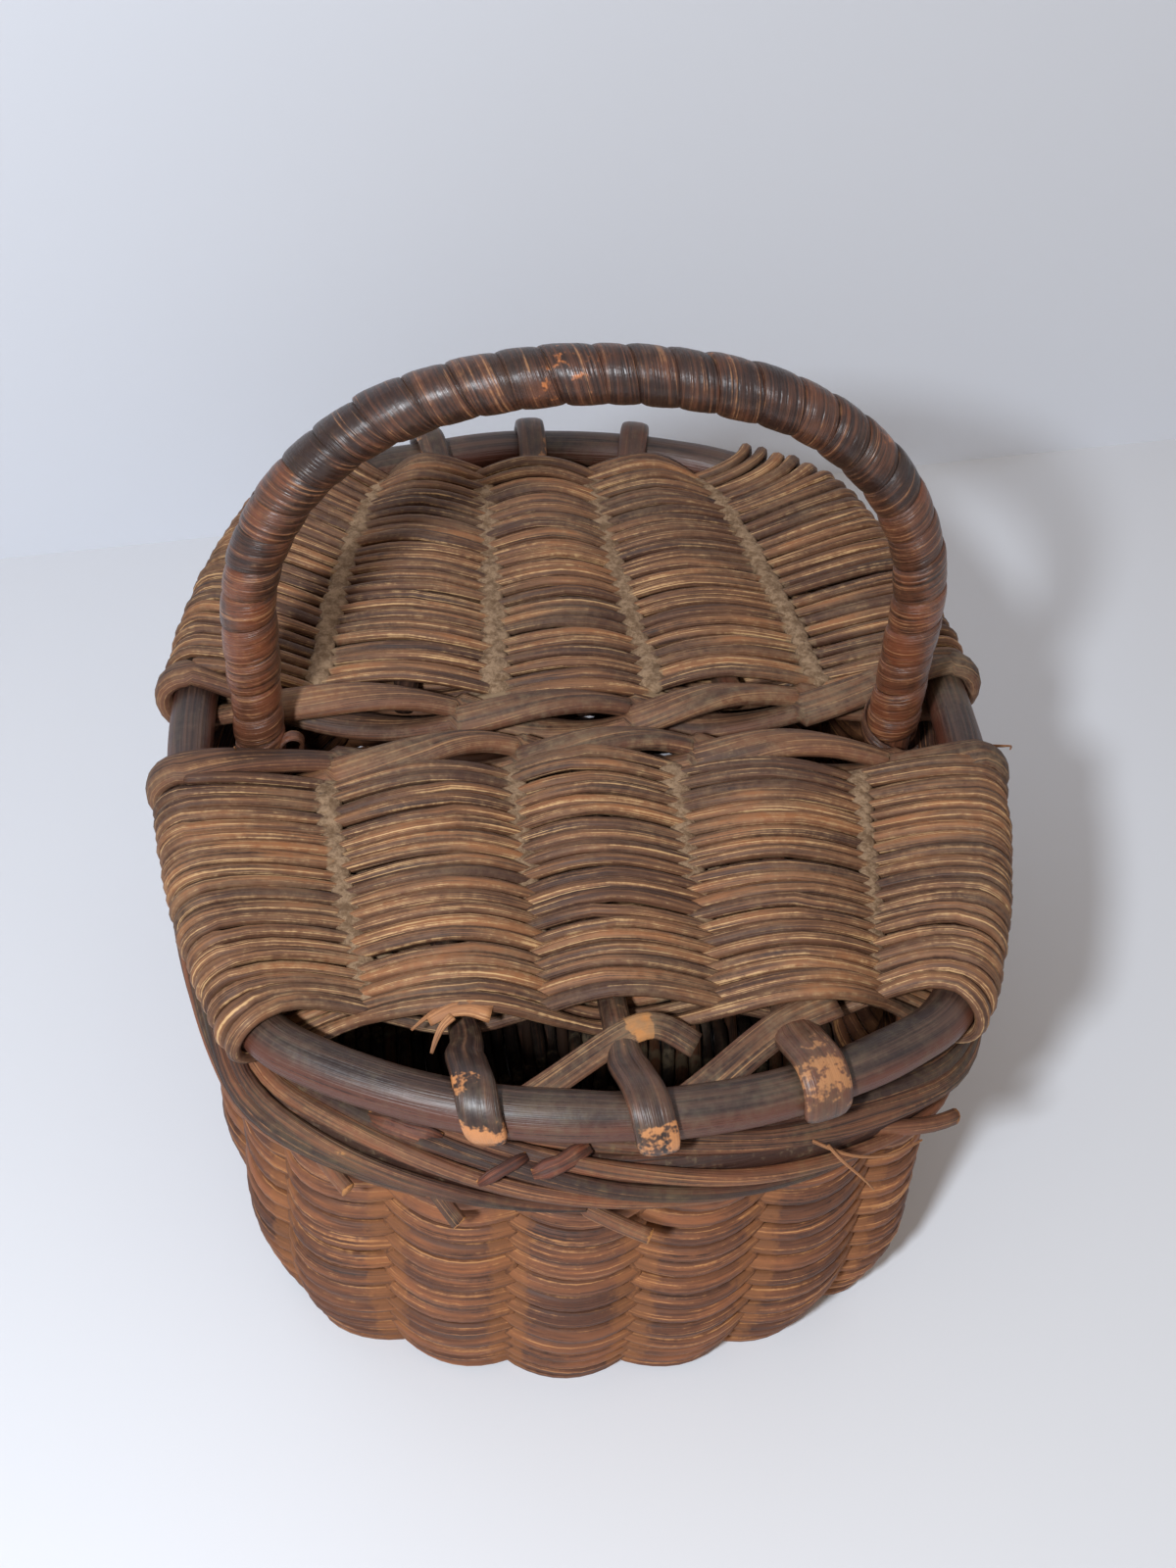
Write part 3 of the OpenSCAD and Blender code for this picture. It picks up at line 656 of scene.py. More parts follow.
@dataclass(frozen=True)
class DustFinish:
    """Felted dust and frayed bark in the valleys of the weave; on the wall also a painted orange highlight."""

    name: str
    low: Tint
    high: Tint

    def build(self) -> bpy.types.Material:
        """Make the material."""
        g = Graph(self.name)
        place = g.place()
        tuft = g.noise(place, 300.0, 4.0, 0.7)
        speck = g.noise(place, 1100.0, 2.0, 0.7)
        colour = g.blend((tuft * 0.7 + speck * 0.3).band(0.38, 0.62), self.low, self.high)
        return g.close(colour, 0.95, tuft * 0.7 + speck * 0.5, 0.0006)


@dataclass(frozen=True)
class CloudyFinish:
    """A plain finish whose colour drifts between two, for the floor, the backdrop and the base sticks."""

    name: str
    low: Tint
    high: Tint
    scale: float
    detail: float
    grit: float = 0.5
    rough: float = 0.7
    depth: float = 0.0001
    face_only: bool = False

    def build(self) -> bpy.types.Material:
        """Make the material."""
        g = Graph(self.name)
        cloud = g.noise(g.place(), self.scale, self.detail, self.grit)
        return g.close(g.blend(cloud, self.low, self.high), self.rough, cloud, self.depth, face_only=self.face_only)


FINISHES = (
    WillowFinish("lid_willow", (72, 46, 33), (133, 92, 62), (218, 178, 126), (156, 96, 54), (82, 50, 34),
                 dust=(138, 116, 90), warm_share=0.55, flank_tint_and_shade_share=0.5, streaks=0.75, rim=0.4, film=0.34, along=22.0,
                 across=13.0, dust_from=0.56, dust_share=0.8),
    WillowFinish("slot_edge_willow", (62, 42, 33), (116, 80, 57), (186, 142, 96), (140, 88, 56), (112, 66, 44),
                 dust=(130, 112, 88), warm_share=0.35, flank_tint_and_shade_share=0.4, streaks=0.55, film=0.6, along=20.0,
                 across=24.0, dust_share=0.6),
    # wall_willow: its orange hollow colour is partly dust and partly a painted highlight in the valleys where rows
    # cross
    WillowFinish("wall_willow", (82, 48, 32), (130, 81, 52), (204, 148, 94), (152, 90, 52), (74, 45, 30),
                 dust=(150, 98, 58), warm_share=0.5, flank_tint_and_shade_share=0.5, streaks=0.65, film=0.12, along=24.0,
                 across=11.0, dust_from=0.3, dust_grit=0.6, dust_share=0.42),
    WillowFinish("border_willow", (52, 33, 26), (114, 73, 50), (186, 134, 90), (138, 76, 45), (104, 58, 38),
                 dust=(114, 100, 72), warm_share=0.6, flank_tint_and_shade_share=0.3, streaks=0.5, film=0.35, along=16.0,
                 across=18.0, patches=0.14, depth=0.0007),
    WillowFinish("hoop_wood", (44, 31, 28), (80, 58, 48), (106, 80, 64), (102, 62, 44), (94, 52, 38),
                 (168, 106, 66), (104, 94, 74), warm_share=0.5, flank_tint_and_shade_share=0.8, streaks=0.25, film=0.4,
                 patches=0.34, across=30.0, along=16.0, rough=0.42, coat=0.1),
    WillowFinish("stake_willow", (44, 31, 28), (82, 56, 44), (124, 88, 64), (116, 62, 42), bare=(196, 132, 82),
                 dust=(112, 98, 76), streaks=0.35, film=0.4, patches=0.5, across=18.0, rough=0.38, coat=0.15),
    # darkened willow for the wall's stakes and the base: painted shade for the inside of the basket
    WillowFinish("interior_shade_willow", (26, 17, 13), (54, 34, 24), (84, 56, 38), streaks=0.3, film=0.2),
    WillowFinish("bow_wood", (54, 30, 21), (104, 60, 38), (150, 94, 58), streaks=0.35, film=0.1, across=26.0),
    WillowFinish("winding_skein", (44, 27, 22), (98, 60, 42), (176, 128, 88), (124, 66, 40), bare=(176, 106, 60),
                 dust=(172, 140, 102), warm_share=0.5, streaks=0.5, film=0.05, patches=0.26, rim=0.85, rim_at=0.24,
                 across=26.0, along=34.0, patch_size=90.0, rough=0.34, depth=0.0009, coat=0.22),
    WillowFinish("torn_fibre", (120, 78, 50), (170, 118, 78), (216, 172, 126), streaks=0.5, film=0.1, across=10.0),
    WillowFinish("bark_flake", (62, 34, 26), (108, 58, 40), (160, 102, 70), streaks=0.5, film=0.25, across=14.0),
    DustFinish("valley_dust", (104, 80, 58), (152, 126, 100)),
    # orange band in the wall's valleys: partly frayed bark and dust, partly painted highlight
    DustFinish("bark_dust_and_highlight", (96, 60, 38), (142, 92, 56)),
    # darkened base sticks: painted shade for the inside of the basket
    CloudyFinish("base_stick_shade_wood", (36, 24, 17), (78, 52, 36), 60.0, 4.0, grit=0.6, depth=0.0004),
    CloudyFinish("pale_table", (222, 226, 233), (229, 232, 238), 3.0, 3.0),
    CloudyFinish("pale_backdrop", (218, 224, 235), (226, 231, 240), 2.0, 2.0, rough=0.85, face_only=True),
)


@lru_cache(maxsize=None)
def material(name: str) -> bpy.types.Material:
    """Build, once, the finish of that name."""
    return next(finish for finish in FINISHES if finish.name == name).build()


@dataclass
class LidHalf:
    """One woven half of the lid, with its twisted slot edge and its three stakes."""

    side: Side
    hoop_z: float
    stake_in: tuple[float, float, float]
    stake_out: tuple[float, float, float]
    rows: int
    last_y: float
    hoop_first: tuple[float, float]
    hoop_last: tuple[float, float]
    climb: float
    tongue_half_w: tuple[float, float, float]
    hoop_r: float = 6.0
    stake_r: float = 3.0
    strand_half_w: float = 2.0
    strand_half_t: float = 1.75
    hump: float = 7.0
    hump_gain: float = 3.0
    stake_gain: float = 2.2
    twist_r: float = 4.2
    twist_half_w: float = 4.8
    twist_half_t: float = 2.7
    twist_spread: float = 2.7
    twist_lead: float = 0.0
    hoop_gap: float = 0.25
    pressed_share: float = 0.64
    rod_half_w: float = 3.4
    rod_half_t: float = 3.6
    tongue_half_t: float = 1.9
    worn: tuple[tuple[float, ...], ...] = ((0.1, 0.46, 0.4, 0.22, 0.38, 0.6, 0.6),
                                           (0.0, 0.0, 0.05, 0.2, 0.5, 0.52, 0.5),
                                           (0.0, 0.0, 0.1, 0.16, 0.2, 0.16, 0.1))
    worn_slant: tuple[float, float, float] = (-0.08, 0.05, 0.34)
    tongue_lean: tuple[float, float, float] = (0.36, 0.2, -0.06)
    tongue_shift: tuple[float, float, float] = (2.6, 2.0, -1.0)
    dust_half_w: tuple[float, float, float, float] = (3.2, 3.7, 3.5, 3.0)
    bow_y: float = -4.0
    slot_mid: float = 3.2
    slot_leg: float = 10.5
    leg_x: float = 86.5
    seed: int = 3

    @property
    def sign(self) -> int:
        """Return -1 at the front and 1 at the rear."""
        return self.side.value

    def edge_y(self, x: Array | float) -> Array | float:
        """Return the y of the slot edge's middle line at x."""
        sag = self.slot_leg - self.slot_mid
        radius = (self.leg_x ** 2 + sag ** 2) / (2 * sag)
        middle = self.slot_mid + self.twist_r + radius
        return self.bow_y + self.sign * (middle - np.sqrt(radius ** 2 - np.asarray(x, dtype=float) ** 2))

    def hoop_length(self, right: int, share: float) -> float:
        """Return the length along the oval of a row's wrap, on the right (1) or the left (-1)."""
        first, last = (OVAL.length_at(right, ys[right > 0]) for ys in (self.hoop_first, self.hoop_last))
        return first + (last - first) * share

    def column(self, number: int, share: float) -> Array:
        """Find where a row crosses a column, in the hoop's plane.

        Args:
            number: 0 left hoop, 1 to 3 the stakes, 4 right hoop.
            share: 0 at the slot, 1 at the last row.

        Returns:
            The point (3,).
        """
        if number in (0, 4):
            spot, _ = OVAL.place(np.array([self.hoop_length(number // 2 - 1, share)]), 0.0, self.hoop_z)
            return spot[0]
        x_in, x_out = self.stake_in[number - 1], self.stake_out[number - 1]
        y_in = float(self.edge_y(x_in)) + self.sign * (self.twist_r + 2.0)
        y = y_in + (self.last_y - y_in) * share
        x = x_in + (x_out - x_in) * (y - y_in) / (self.sign * OVAL.end_y(x_out) - y_in)
        return np.array([x, y, self.hoop_z])

    @staticmethod
    def outward(spot: Array) -> Array:
        """Return the direction square to the hoop at a point of its centre line."""
        places, aims = OVAL.place(np.linspace(0, 4 * OVAL.quarter, 1200), 0.0, float(spot[2]))
        return aims[int(np.argmin(np.linalg.norm(places - spot, axis=1)))]

    def weave(self) -> tuple[Strand, list[Array]]:
        """Run one weaver over and under the stakes, round the hoop and back, row by row.

        Returns:
            The weaver, and for each of the four valleys the points (n, 3) at which the rows cross.
        """
        rng = np.random.default_rng(self.seed)
        under = self.stake_r + self.strand_half_t
        round_hoop = self.hoop_r + self.strand_half_t + self.hoop_gap
        valleys: list[list[Array]] = [[], [], [], []]
        laid: list[tuple[Array, ...]] = []
        per_leg, per_wrap, rows_per_rod, worn_rows = 10, 12, 5, 4
        phase = np.linspace(0, 1, per_leg, endpoint=False)
        wrap = np.linspace(0, 1, per_wrap, endpoint=False)
        ease = (1 - np.cos(math.pi * phase)) / 2
        t = phase[:, None]
        tone, thick = 0.5, 1.0
        for row in range(self.rows):
            share = (row + 0.5) / self.rows
            if row % rows_per_rod == 0:
                tone, thick = rng.uniform(0.4, 0.62), rng.uniform(0.9, 1.08)
            row_thick = (thick + rng.normal(0, 0.06)) * (1.18 if row >= self.rows - 2 else 1.0)
            row_tone = tone + rng.normal(0, 0.1)
            order = range(5) if row % 2 == 0 else range(4, -1, -1)
            stops = [self.column(k, share) for k in order]
            signs = [1.0 if (row + k) % 2 == 0 else -1.0 for k in order]
            over = self.hump + self.hump_gain * share ** 2 + rng.normal(0, 0.25)
            low = under - self.stake_gain * share ** 2
            heights = [s * (round_hoop if k in (0, 4) else over if s > 0 else low) for s, k in zip(signs, order)]
            for leg in range(4):
                here, there = stops[leg], stops[leg + 1]
                before = stops[leg - 1] if leg else here - (there - here)
                after = stops[leg + 2] if leg < 3 else there + (there - here)
                reach = np.linalg.norm(there - here)
                pull_in = -self.outward(here) * reach if leg == 0 else (there - before) / 2
                pull_out = self.outward(there) * reach if leg == 3 else (after - here) / 2
                base = ((2 * t ** 3 - 3 * t ** 2 + 1) * here + (t ** 3 - 2 * t ** 2 + t) * pull_in
                        + (-2 * t ** 3 + 3 * t ** 2) * there + (t ** 3 - t ** 2) * pull_out)
                z = heights[leg] + (heights[leg + 1] - heights[leg]) * ease
                rise = np.minimum(1.0, np.abs(z) / under)
                base[:, 2] = self.hoop_z + z
                base[:, 1] += rng.normal(0, 0.3)
                turn = math.acos(1 - 2 * heights[leg] / (heights[leg] - heights[leg + 1])) / math.pi
                valleys[leg if row % 2 == 0 else 3 - leg].append(
                    np.array([np.interp(turn, phase, base[:, 0]), np.interp(turn, phase, base[:, 1]), self.hoop_z]))
                width = self.pressed_share + (1 - self.pressed_share) * rise
                laid.append((base, upright(per_leg), self.strand_half_w * row_thick * width,
                             rise if row < self.rows - worn_rows else np.ones(per_leg),
                             np.full(per_leg, row_tone + rng.normal(0, 0.12))))
            if row == self.rows - 1:
                break
            right = 1 if row % 2 == 0 else -1
            start, stop = self.hoop_length(right, share), self.hoop_length(right, (row + 1.5) / self.rows)
            spot, aim = OVAL.wrap(start + (stop - start) * wrap, signs[4] * math.pi * (0.5 - wrap), round_hoop,
                                  self.hoop_z)
            laid.append((spot, aim, np.full(per_wrap, self.strand_half_w * row_thick * 1.06),
                         np.full(per_wrap, 0.95), np.full(per_wrap, row_tone)))
        centre, up, half_w, lift, tones = (np.concatenate(line) for line in zip(*laid))
        for axis in range(3):
            centre[:, axis] += wobble(rng, len(centre), self.rows * 4, 0.22)
        half_w = half_w * (1 + wobble(rng, len(centre), self.rows * 4, 0.09))
        tones = np.clip(np.convolve(tones, np.ones(7) / 7, "same"), 0.02, 0.98)
        return (Strand(centre, unit(up), half_w, self.strand_half_t, lift, tones),
                [np.array(points) for points in valleys])

    def valley_dust(self, valleys: list[Array]) -> Iterator[Strand]:
        """Lay felted dust along the lines where the rows cross, given each valley's crossing points."""
        rng = np.random.default_rng(self.seed + 70)
        for points, half_w in zip(valleys, self.dust_half_w):
            raised = points[1:-3] + np.array([0.0, 0.0, 1.7])
            yield dust_band(rng, raised, upright(len(raised)), half_w, 1.5)

    def twist(self) -> Iterator[Strand]:
        """Twist two thick strands along the slot edge, over and under the stakes by turns."""
        rng = np.random.default_rng(self.seed + 40)
        count = 120
        x = np.linspace(-OVAL.half_w, OVAL.half_w, count)
        column = np.interp(x, [-OVAL.half_w, *self.stake_in, OVAL.half_w], range(5)) + self.twist_lead
        spread = self.twist_spread * np.interp(np.abs(x), [0, 70, 105], [1.0, 1.0, 0.75])
        reach = np.interp(np.abs(x), [0, 80, 105], [5.0, 5.4, self.hoop_r + self.twist_half_t])
        sweep = np.linspace(0, 1, 14)[1:]
        for number in (0, 1):
            theta = math.pi * (column + number)
            centre = np.stack([x, self.edge_y(x) + np.sin(theta) * spread + wobble(rng, count, 8, 0.3),
                               self.hoop_z + np.cos(theta) * reach], -1)
            up = unit(np.stack([np.zeros(count), np.sin(theta) * 0.5 * np.sign(np.cos(theta)), np.ones(count)], -1))
            laid = [(centre, up, np.clip(0.25 + 0.75 * np.abs(np.cos(theta)), 0, 1))]
            for right, at in ((-1, 0), (1, -1)):
                end = centre[at]
                if math.cos(float(theta[at])) > 0:
                    low = abs(float(end[2]) - self.hoop_z)
                    radius = low + (self.hoop_r + self.twist_half_t - low) * np.minimum(1.0, sweep * 3)
                    along = OVAL.length_at(right, float(end[1])) - self.sign * right * 2.0 * sweep
                    spot, turn = OVAL.wrap(along, math.pi / 2 - 1.2 * math.pi * sweep, radius, self.hoop_z)
                else:
                    spot = end + np.outer(sweep, np.array([right * 4.0, 0.0, 0.0]))
                    turn = np.tile(up[at], (len(sweep), 1))
                wrapped = (spot[::right], turn[::right], np.full(len(sweep), 0.9))
                laid = laid + [wrapped] if right > 0 else [wrapped] + laid
            path, ups, lifts = (np.concatenate(line) for line in zip(*laid))
            half_w = self.twist_half_w * (1 + wobble(rng, len(path), 7, 0.06))
            yield Strand(path, unit(ups), half_w, self.twist_half_t, lifts, 0.4 + 0.25 * number, sides=14, boxy=2.2)

    def stake(self, number: int) -> Strand:
        """Bend one stake: a rod in the weave, flattened up over the hoop and cut off beyond it.

        Args:
            number: 0 left, 1 middle, 2 right.

        Returns:
            The strand.
        """
        x_in, x_out = self.stake_in[number], self.stake_out[number]
        y_out = self.sign * OVAL.end_y(x_out)
        out = np.array([x_out, y_out - self.sign * (OVAL.half_l - OVAL.end_r), 0.0]) / OVAL.end_r
        foot = np.array([x_out, y_out, self.hoop_z])
        begin = np.array([x_in, float(self.edge_y(x_in)) + self.sign * (self.twist_r + 1.2), self.hoop_z])
        root = foot - out * self.climb + self.stake_gain * UP
        radius = self.hoop_r + 0.3 + self.tongue_half_t
        leave = math.acos(radius / self.climb)
        reach = np.linspace(0, 1, 14)
        rod = begin + np.outer(reach, root - begin)
        rod[:, 2] = self.hoop_z + self.stake_gain * reach ** 2
        up_ramp = -out * math.cos(leave) + math.sin(leave) * UP
        ramp = root + np.outer(np.linspace(0, 1, 9)[1:], foot + up_ramp * radius - root)
        angle = np.linspace(math.pi - leave, math.radians(-10), 15)[1:]
        up_bend = np.outer(np.cos(angle), out) + np.outer(np.sin(angle), UP)
        centre = np.concatenate([rod, ramp, foot + up_bend * radius])
        up = np.concatenate([upright(14), np.tile(up_ramp, (8, 1)), up_bend])
        for _ in range(2):
            up[1:-1] = unit(up[:-2] + up[1:-1] * 2 + up[2:])
            centre[12:24] = (centre[11:23] + centre[12:24] * 2 + centre[13:25]) / 4
        index = np.arange(len(centre))
        flat = np.clip((index - 12) / 5, 0, 1)
        wide = self.rod_half_w + (self.tongue_half_w[number] - self.rod_half_w) * flat
        wide[-3:] *= np.array([1.0, 0.97, 0.92])
        thin = self.rod_half_t + (self.tongue_half_t - self.rod_half_t) * flat
        tongue = np.clip((index - 20) / (len(centre) - 21), 0, 1)
        bare = np.interp(tongue, np.linspace(0, 1, len(self.worn[number])), self.worn[number]) * (tongue > 0)
        run = travelled(centre)
        run -= run[22 + (len(centre) - 22) // 2]
        lean = self.tongue_lean[number] * run + self.tongue_shift[number]
        centre[:, 0] += lean * np.clip(index / 16, 0, 1) ** 2
        return Strand(centre, unit(up), wide, thin, 0.85, 0.3 + 0.2 * number, bare, end=Cap.CUT, sides=16, boxy=2.8,
                      slant=self.worn_slant[number])

    def pieces(self) -> Iterator[Piece]:
        """Return this half's pieces."""
        word = self.side.name.lower()
        weaver, valleys = self.weave()
        yield Piece(f"{word}_weave_strands", [weaver], "lid_willow", "lid_willow", (f"{word}_weave",))
        yield Piece(f"{word}_valley_dust", self.valley_dust(valleys), "valley_dust", "lid_willow")
        yield Piece(f"{word}_edge_strands", self.twist(), "slot_edge_willow", "lid_willow", (f"{word}_edge_twist",))
        for number, place in enumerate(("left", "middle", "right")):
            yield Piece(f"{word}_{place}_stake", [self.stake(number)], "stake_willow", "worn_willow",
                        (f"{word}_stake_{place}",))


@dataclass
class Hoop:
    """The lid's one hoop."""

    hoop_z: float
    radius: float = 6.0

    def pieces(self) -> Iterator[Piece]:
        """Return the hoop."""
        rng = np.random.default_rng(11)
        count = 360
        spot, _ = OVAL.place(OVAL.samples(count), 0.0, self.hoop_z)
        spot[:, 2] += wobble(rng, count, 30, 0.25, closed=True)
        size = self.radius * (1 + wobble(rng, count, 60, 0.02, closed=True))
        rod = Strand(spot, upright(count), size, size * 0.98, 1.0, 0.45, start=Cap.RING, sides=20)
        yield Piece("lid_hoop_rod", [rod], "hoop_wood", "hoop_wood", ("lid_hoop",))


@dataclass
class Wall:
    """The woven wall: upright stakes and rows of randing."""

    height: float = 104.0
    rim_swell: float = 1.0
    belly_swell: float = 1.4
    belly_h: float = 38.0
    foot_inset: float = 8.0
    stake_count: int = 24
    stake_shift: float = -8.0
    stake_r: float = 2.5
    strand_half_w: float = 3.15
    strand_half_t: float = 2.0
    row_pitch: float = 3.5
    sag: float = 0.9
    roundness: float = 0.85
    foot_row_h: float = 6.0
    foot_row_share: float = 0.78
    stray_level: float = 0.4
    stray_out: float = 0.15
    stray_width: float = 0.07
    stray_tone: float = 0.14
    seed: int = 5

    @property
    def pitch(self) -> float:
        """Return the length along the oval between two stakes."""
        return 4 * OVAL.quarter / self.stake_count

    @property
    def first(self) -> float:
        """Return the length along the oval of the first stake, near the middle of the front."""
        return 3 * OVAL.quarter + self.stake_shift

    def outer(self, z: Array | float) -> Array:
        """Return how far outside the oval the ridges stand at a height."""
        z = np.asarray(z, dtype=float)
        belly, foot = self.rim_swell + self.belly_swell, self.rim_swell - self.foot_inset
        low = belly - (belly - foot) * np.maximum(0.0, 1 - z / self.belly_h) ** 1.8
        high = np.interp(z, [self.belly_h, self.height - 20, self.height], [belly, self.rim_swell, self.rim_swell])
        return np.where(z < self.belly_h, low, high)

    def levels(self) -> Array:
        """Space the rows evenly along the wall's profile and return their heights."""
        z = np.linspace(1.9, self.height - 1.6, 400)
        run = travelled(np.stack([self.outer(z), z], -1))
        return np.interp(np.linspace(0, run[-1], int(run[-1] / self.row_pitch)), run, z)

    def rows(self) -> Iterator[Strand]:
        """Weave the rows in and out of the stakes."""
        rng = np.random.default_rng(self.seed)
        per = 9
        count = self.stake_count * per
        along = np.arange(count) * self.pitch / per
        depth = self.stake_r + self.strand_half_t
        for number, level in enumerate(self.levels()):
            wave = np.cos(math.pi * (along - self.first) / self.pitch + math.pi * number)
            rise = np.minimum(1.0, np.abs(wave) * 1.15)
            droop = wobble(rng, count, self.stake_count, self.stray_level, closed=True)
            z = level + (droop - self.sag * (np.abs(wave) - 0.5)) * np.clip(level / 12 - 0.1, 0, 1)
            swell = depth * np.sign(wave) * np.abs(wave) ** self.roundness
            swell = swell + wobble(rng, count, 48, self.stray_out, closed=True)
            spot, aim = OVAL.place(along, self.outer(z) - depth - self.strand_half_t + swell, z)
            lean = np.gradient(self.outer(np.array([level - 2, level, level + 2])), 2.0)[1]
            thick = 1 + wobble(rng, count, 14, self.stray_width, closed=True)
            tone = np.clip(0.5 + wobble(rng, count, 16, self.stray_tone, closed=True), 0.02, 0.98)
            half_w = self.strand_half_w * thick * (0.86 + 0.14 * rise)
            half_w = half_w * (self.foot_row_share if level < self.foot_row_h else 1.0)
            yield Strand(spot, unit(aim - UP * lean), half_w, self.strand_half_t, rise, tone, start=Cap.RING)

    def line(self, column: float, heights: Array, out: float) -> tuple[Array, Array]:
        """Go up the wall at a column.

        Args:
            column: Number of stakes from the first.
            heights: Heights of the points (n,).
            out: Distance outside the stakes' middle.

        Returns:
            The points (n, 3) and the outward directions (n, 3).
        """
        along = np.full(len(heights), self.first + column * self.pitch)
        return OVAL.place(along, self.outer(heights) - self.stake_r - 2 * self.strand_half_t + out, heights)

    def valley_dust(self) -> Iterator[Strand]:
        """Lay frayed bark and dust, partly a painted orange highlight, along the upright lines where the rows cross."""
        rng = np.random.default_rng(self.seed + 9)
        for number in range(self.stake_count):
            spot, aim = self.line(number + 0.5, np.linspace(3.5, self.height - 8, 30), 0.8)
            yield dust_band(rng, spot, aim, 1.7, 1.1)

    def stakes(self) -> Iterator[Strand]:
        """Stand a rod in the middle of the weave at each stake."""
        size = self.stake_r - 0.1
        for number in range(self.stake_count):
            spot, aim = self.line(number, np.linspace(9.0, self.height - 1, 16), 0.0)
            yield Strand(spot, aim, size, size, 1.0, 0.3, start=Cap.CUT, end=Cap.CUT)

    def pieces(self) -> Iterator[Piece]:
        """Return the wall's pieces."""
        yield Piece("side_weave_strands", self.rows(), "wall_willow", "wall_willow", ("side_weave",))
        yield Piece("side_valley_dust", self.valley_dust(), "bark_dust_and_highlight", "wall_willow")
        # the stakes take the darkened finish: painted shade inside the wall
        yield Piece("side_stake_rods", self.stakes(), "interior_shade_willow", "stick_willow", ("side_stakes",))


@dataclass
class Border:
    """The rolled border: long rods that turn slowly round the rim, with cut ends below."""

    rim_z: float = 108.3
    rim_e: float = 0.1
    half_e: float = 6.7
    half_z: float = 9.6
    rod_count: int = 34
    rod_r: float = 2.05
    run: float = 250.0
    inside_turn: float = 205.0
    whole_turn: float = 265.0
    seed: int = 8

    def rods(self) -> Iterator[Strand]:
        """Turn each rod from inside the wall over the rim to the outside."""
        rng = np.random.default_rng(self.seed)
        count = 64
        share = np.linspace(0, 1, count)
        for number in range(self.rod_count):
            start = number * 4 * OVAL.quarter / self.rod_count + rng.normal(0, 3)
            along = start + self.run * rng.uniform(0.9, 1.12) * share
            turn = np.radians(self.inside_turn - self.whole_turn * share ** 1.15) + wobble(rng, count, 8, 0.07)
            grow = 1 + wobble(rng, count, 5, 0.03)
            spot, aim = OVAL.place(along, self.rim_e + self.half_e * np.cos(turn) * grow,
                                   self.rim_z + self.half_z * np.sin(turn) * grow)
            up = aim * (np.cos(turn) / self.half_e)[:, None] + UP * (np.sin(turn) / self.half_z)[:, None]
            size = self.rod_r * rng.uniform(0.92, 1.1) * np.interp(share, [0, 0.75, 1], [1.0, 1.0, 0.82])
            lift = np.clip(1 - 0.75 * np.exp(-((np.degrees(turn) - 100) / 30) ** 2) * 0.9, 0, 1)
            yield Strand(spot, unit(up), size * 1.08, size * 0.92, lift, rng.uniform(0.0, 1.0), end=Cap.CUT, sides=10)

    def core(self) -> Strand:
        """Fill the rim's middle, which the rods leave dark."""
        count = 200
        spot, _ = OVAL.place(OVAL.samples(count), self.rim_e, self.rim_z)
        return Strand(spot, upright(count), self.half_e - 1.6, self.half_z - 1.8, 0.4, 0.1, start=Cap.RING, sides=14)

    def cut_ends(self) -> Iterator[Strand]:
        """Let four cut rod ends stand out below the rim."""
        rng = np.random.default_rng(self.seed + 1)
        bare = np.clip(np.linspace(-9.0, 0.6, 9), 0, 1)
        ends = (-66, 0.0, 0.5, 12), (-38, -3.0, 0.35, 7), (2, -4.0, 0.5, 14), (76, 4.0, 0.8, 20)
        for at, drop, turn, reach in ends:
            spot, aim = OVAL.place(3 * OVAL.quarter + at + np.linspace(-reach * 0.6, reach * 0.4, 9),
                                   self.rim_e + np.linspace(3.0, self.half_e + 4.6 * turn, 9),
                                   self.rim_z + drop + np.linspace(-6.0, -9.5, 9))
            yield Strand(spot, aim, 2.3, 1.7, 0.9, rng.uniform(0.3, 0.8), bare, end=Cap.CUT, sides=10, boxy=2.4)

    @staticmethod
    def flakes() -> Iterator[Strand]:
        """Lay three broken bits of bark on the border under the front of the hoop."""
        shape = np.array([0.55, 1.0, 0.9, 1.0, 0.7])
        bare = np.array([0.3, 0.0, 0.0, 0.0, 0.35])
        up = unit(np.array([[0.3, -0.6, 0.8], [0.1, -0.6, 0.8], [0.0, -0.5, 0.8], [-0.2, -0.7, 0.7],
                            [-0.4, -0.7, 0.6]]))
        for points, half_w in (
            (((-58.0, -120.0, 119.4), (-49.0, -125.0, 120.2), (-41.0, -127.0, 118.8)), 2.4),
            (((-33.0, -137.5, 115.8), (-27.5, -135.5, 118.0), (-21.5, -132.5, 119.0)), 1.6),
            (((-20.5, -136.5, 117.4), (-14.0, -135.0, 119.0), (-7.0, -131.0, 119.8)), 2.4),
        ):
            yield Strand(eased(points, 5, 0), up, half_w * shape, 0.4, 1.0, 0.4, bare, start=Cap.CUT, end=Cap.CUT,
                         boxy=4.0, slant=0.3)

    @staticmethod
    def fibres() -> Iterator[Strand]:
        """Let a few torn fibres stand off the rim at the front and the right."""
        rng = np.random.default_rng(77)
        for points in (
            ((49.5, -131.0, 116.5), (52.0, -135.0, 116.0), (57.0, -138.5, 113.5), (60.0, -138.5, 109.0)),
            ((46.0, -130.0, 117.0), (55.0, -133.0, 114.0), (66.0, -131.5, 112.0), (73.0, -128.0, 113.0)),
            ((112.0, -8.0, 128.0), (116.5, -11.0, 130.5), (118.0, -14.0, 133.5), (116.5, -17.0, 135.0)),
            ((110.5, -18.0, 118.0), (114.5, -22.0, 119.0), (117.0, -27.0, 117.0), (117.5, -31.0, 114.0)),
            ((-96.0, -10.0, 124.0), (-93.0, -13.5, 131.0), (-91.5, -14.5, 137.0), (-92.0, -17.0, 141.0)),
        ):
            up = np.tile(unit(rng.normal(0, 1, 3)), (13, 1))
            yield Strand(eased(points, 13, 3), up, np.linspace(0.55, 0.2, 13), 0.3, 1.0, 0.6, sides=6)

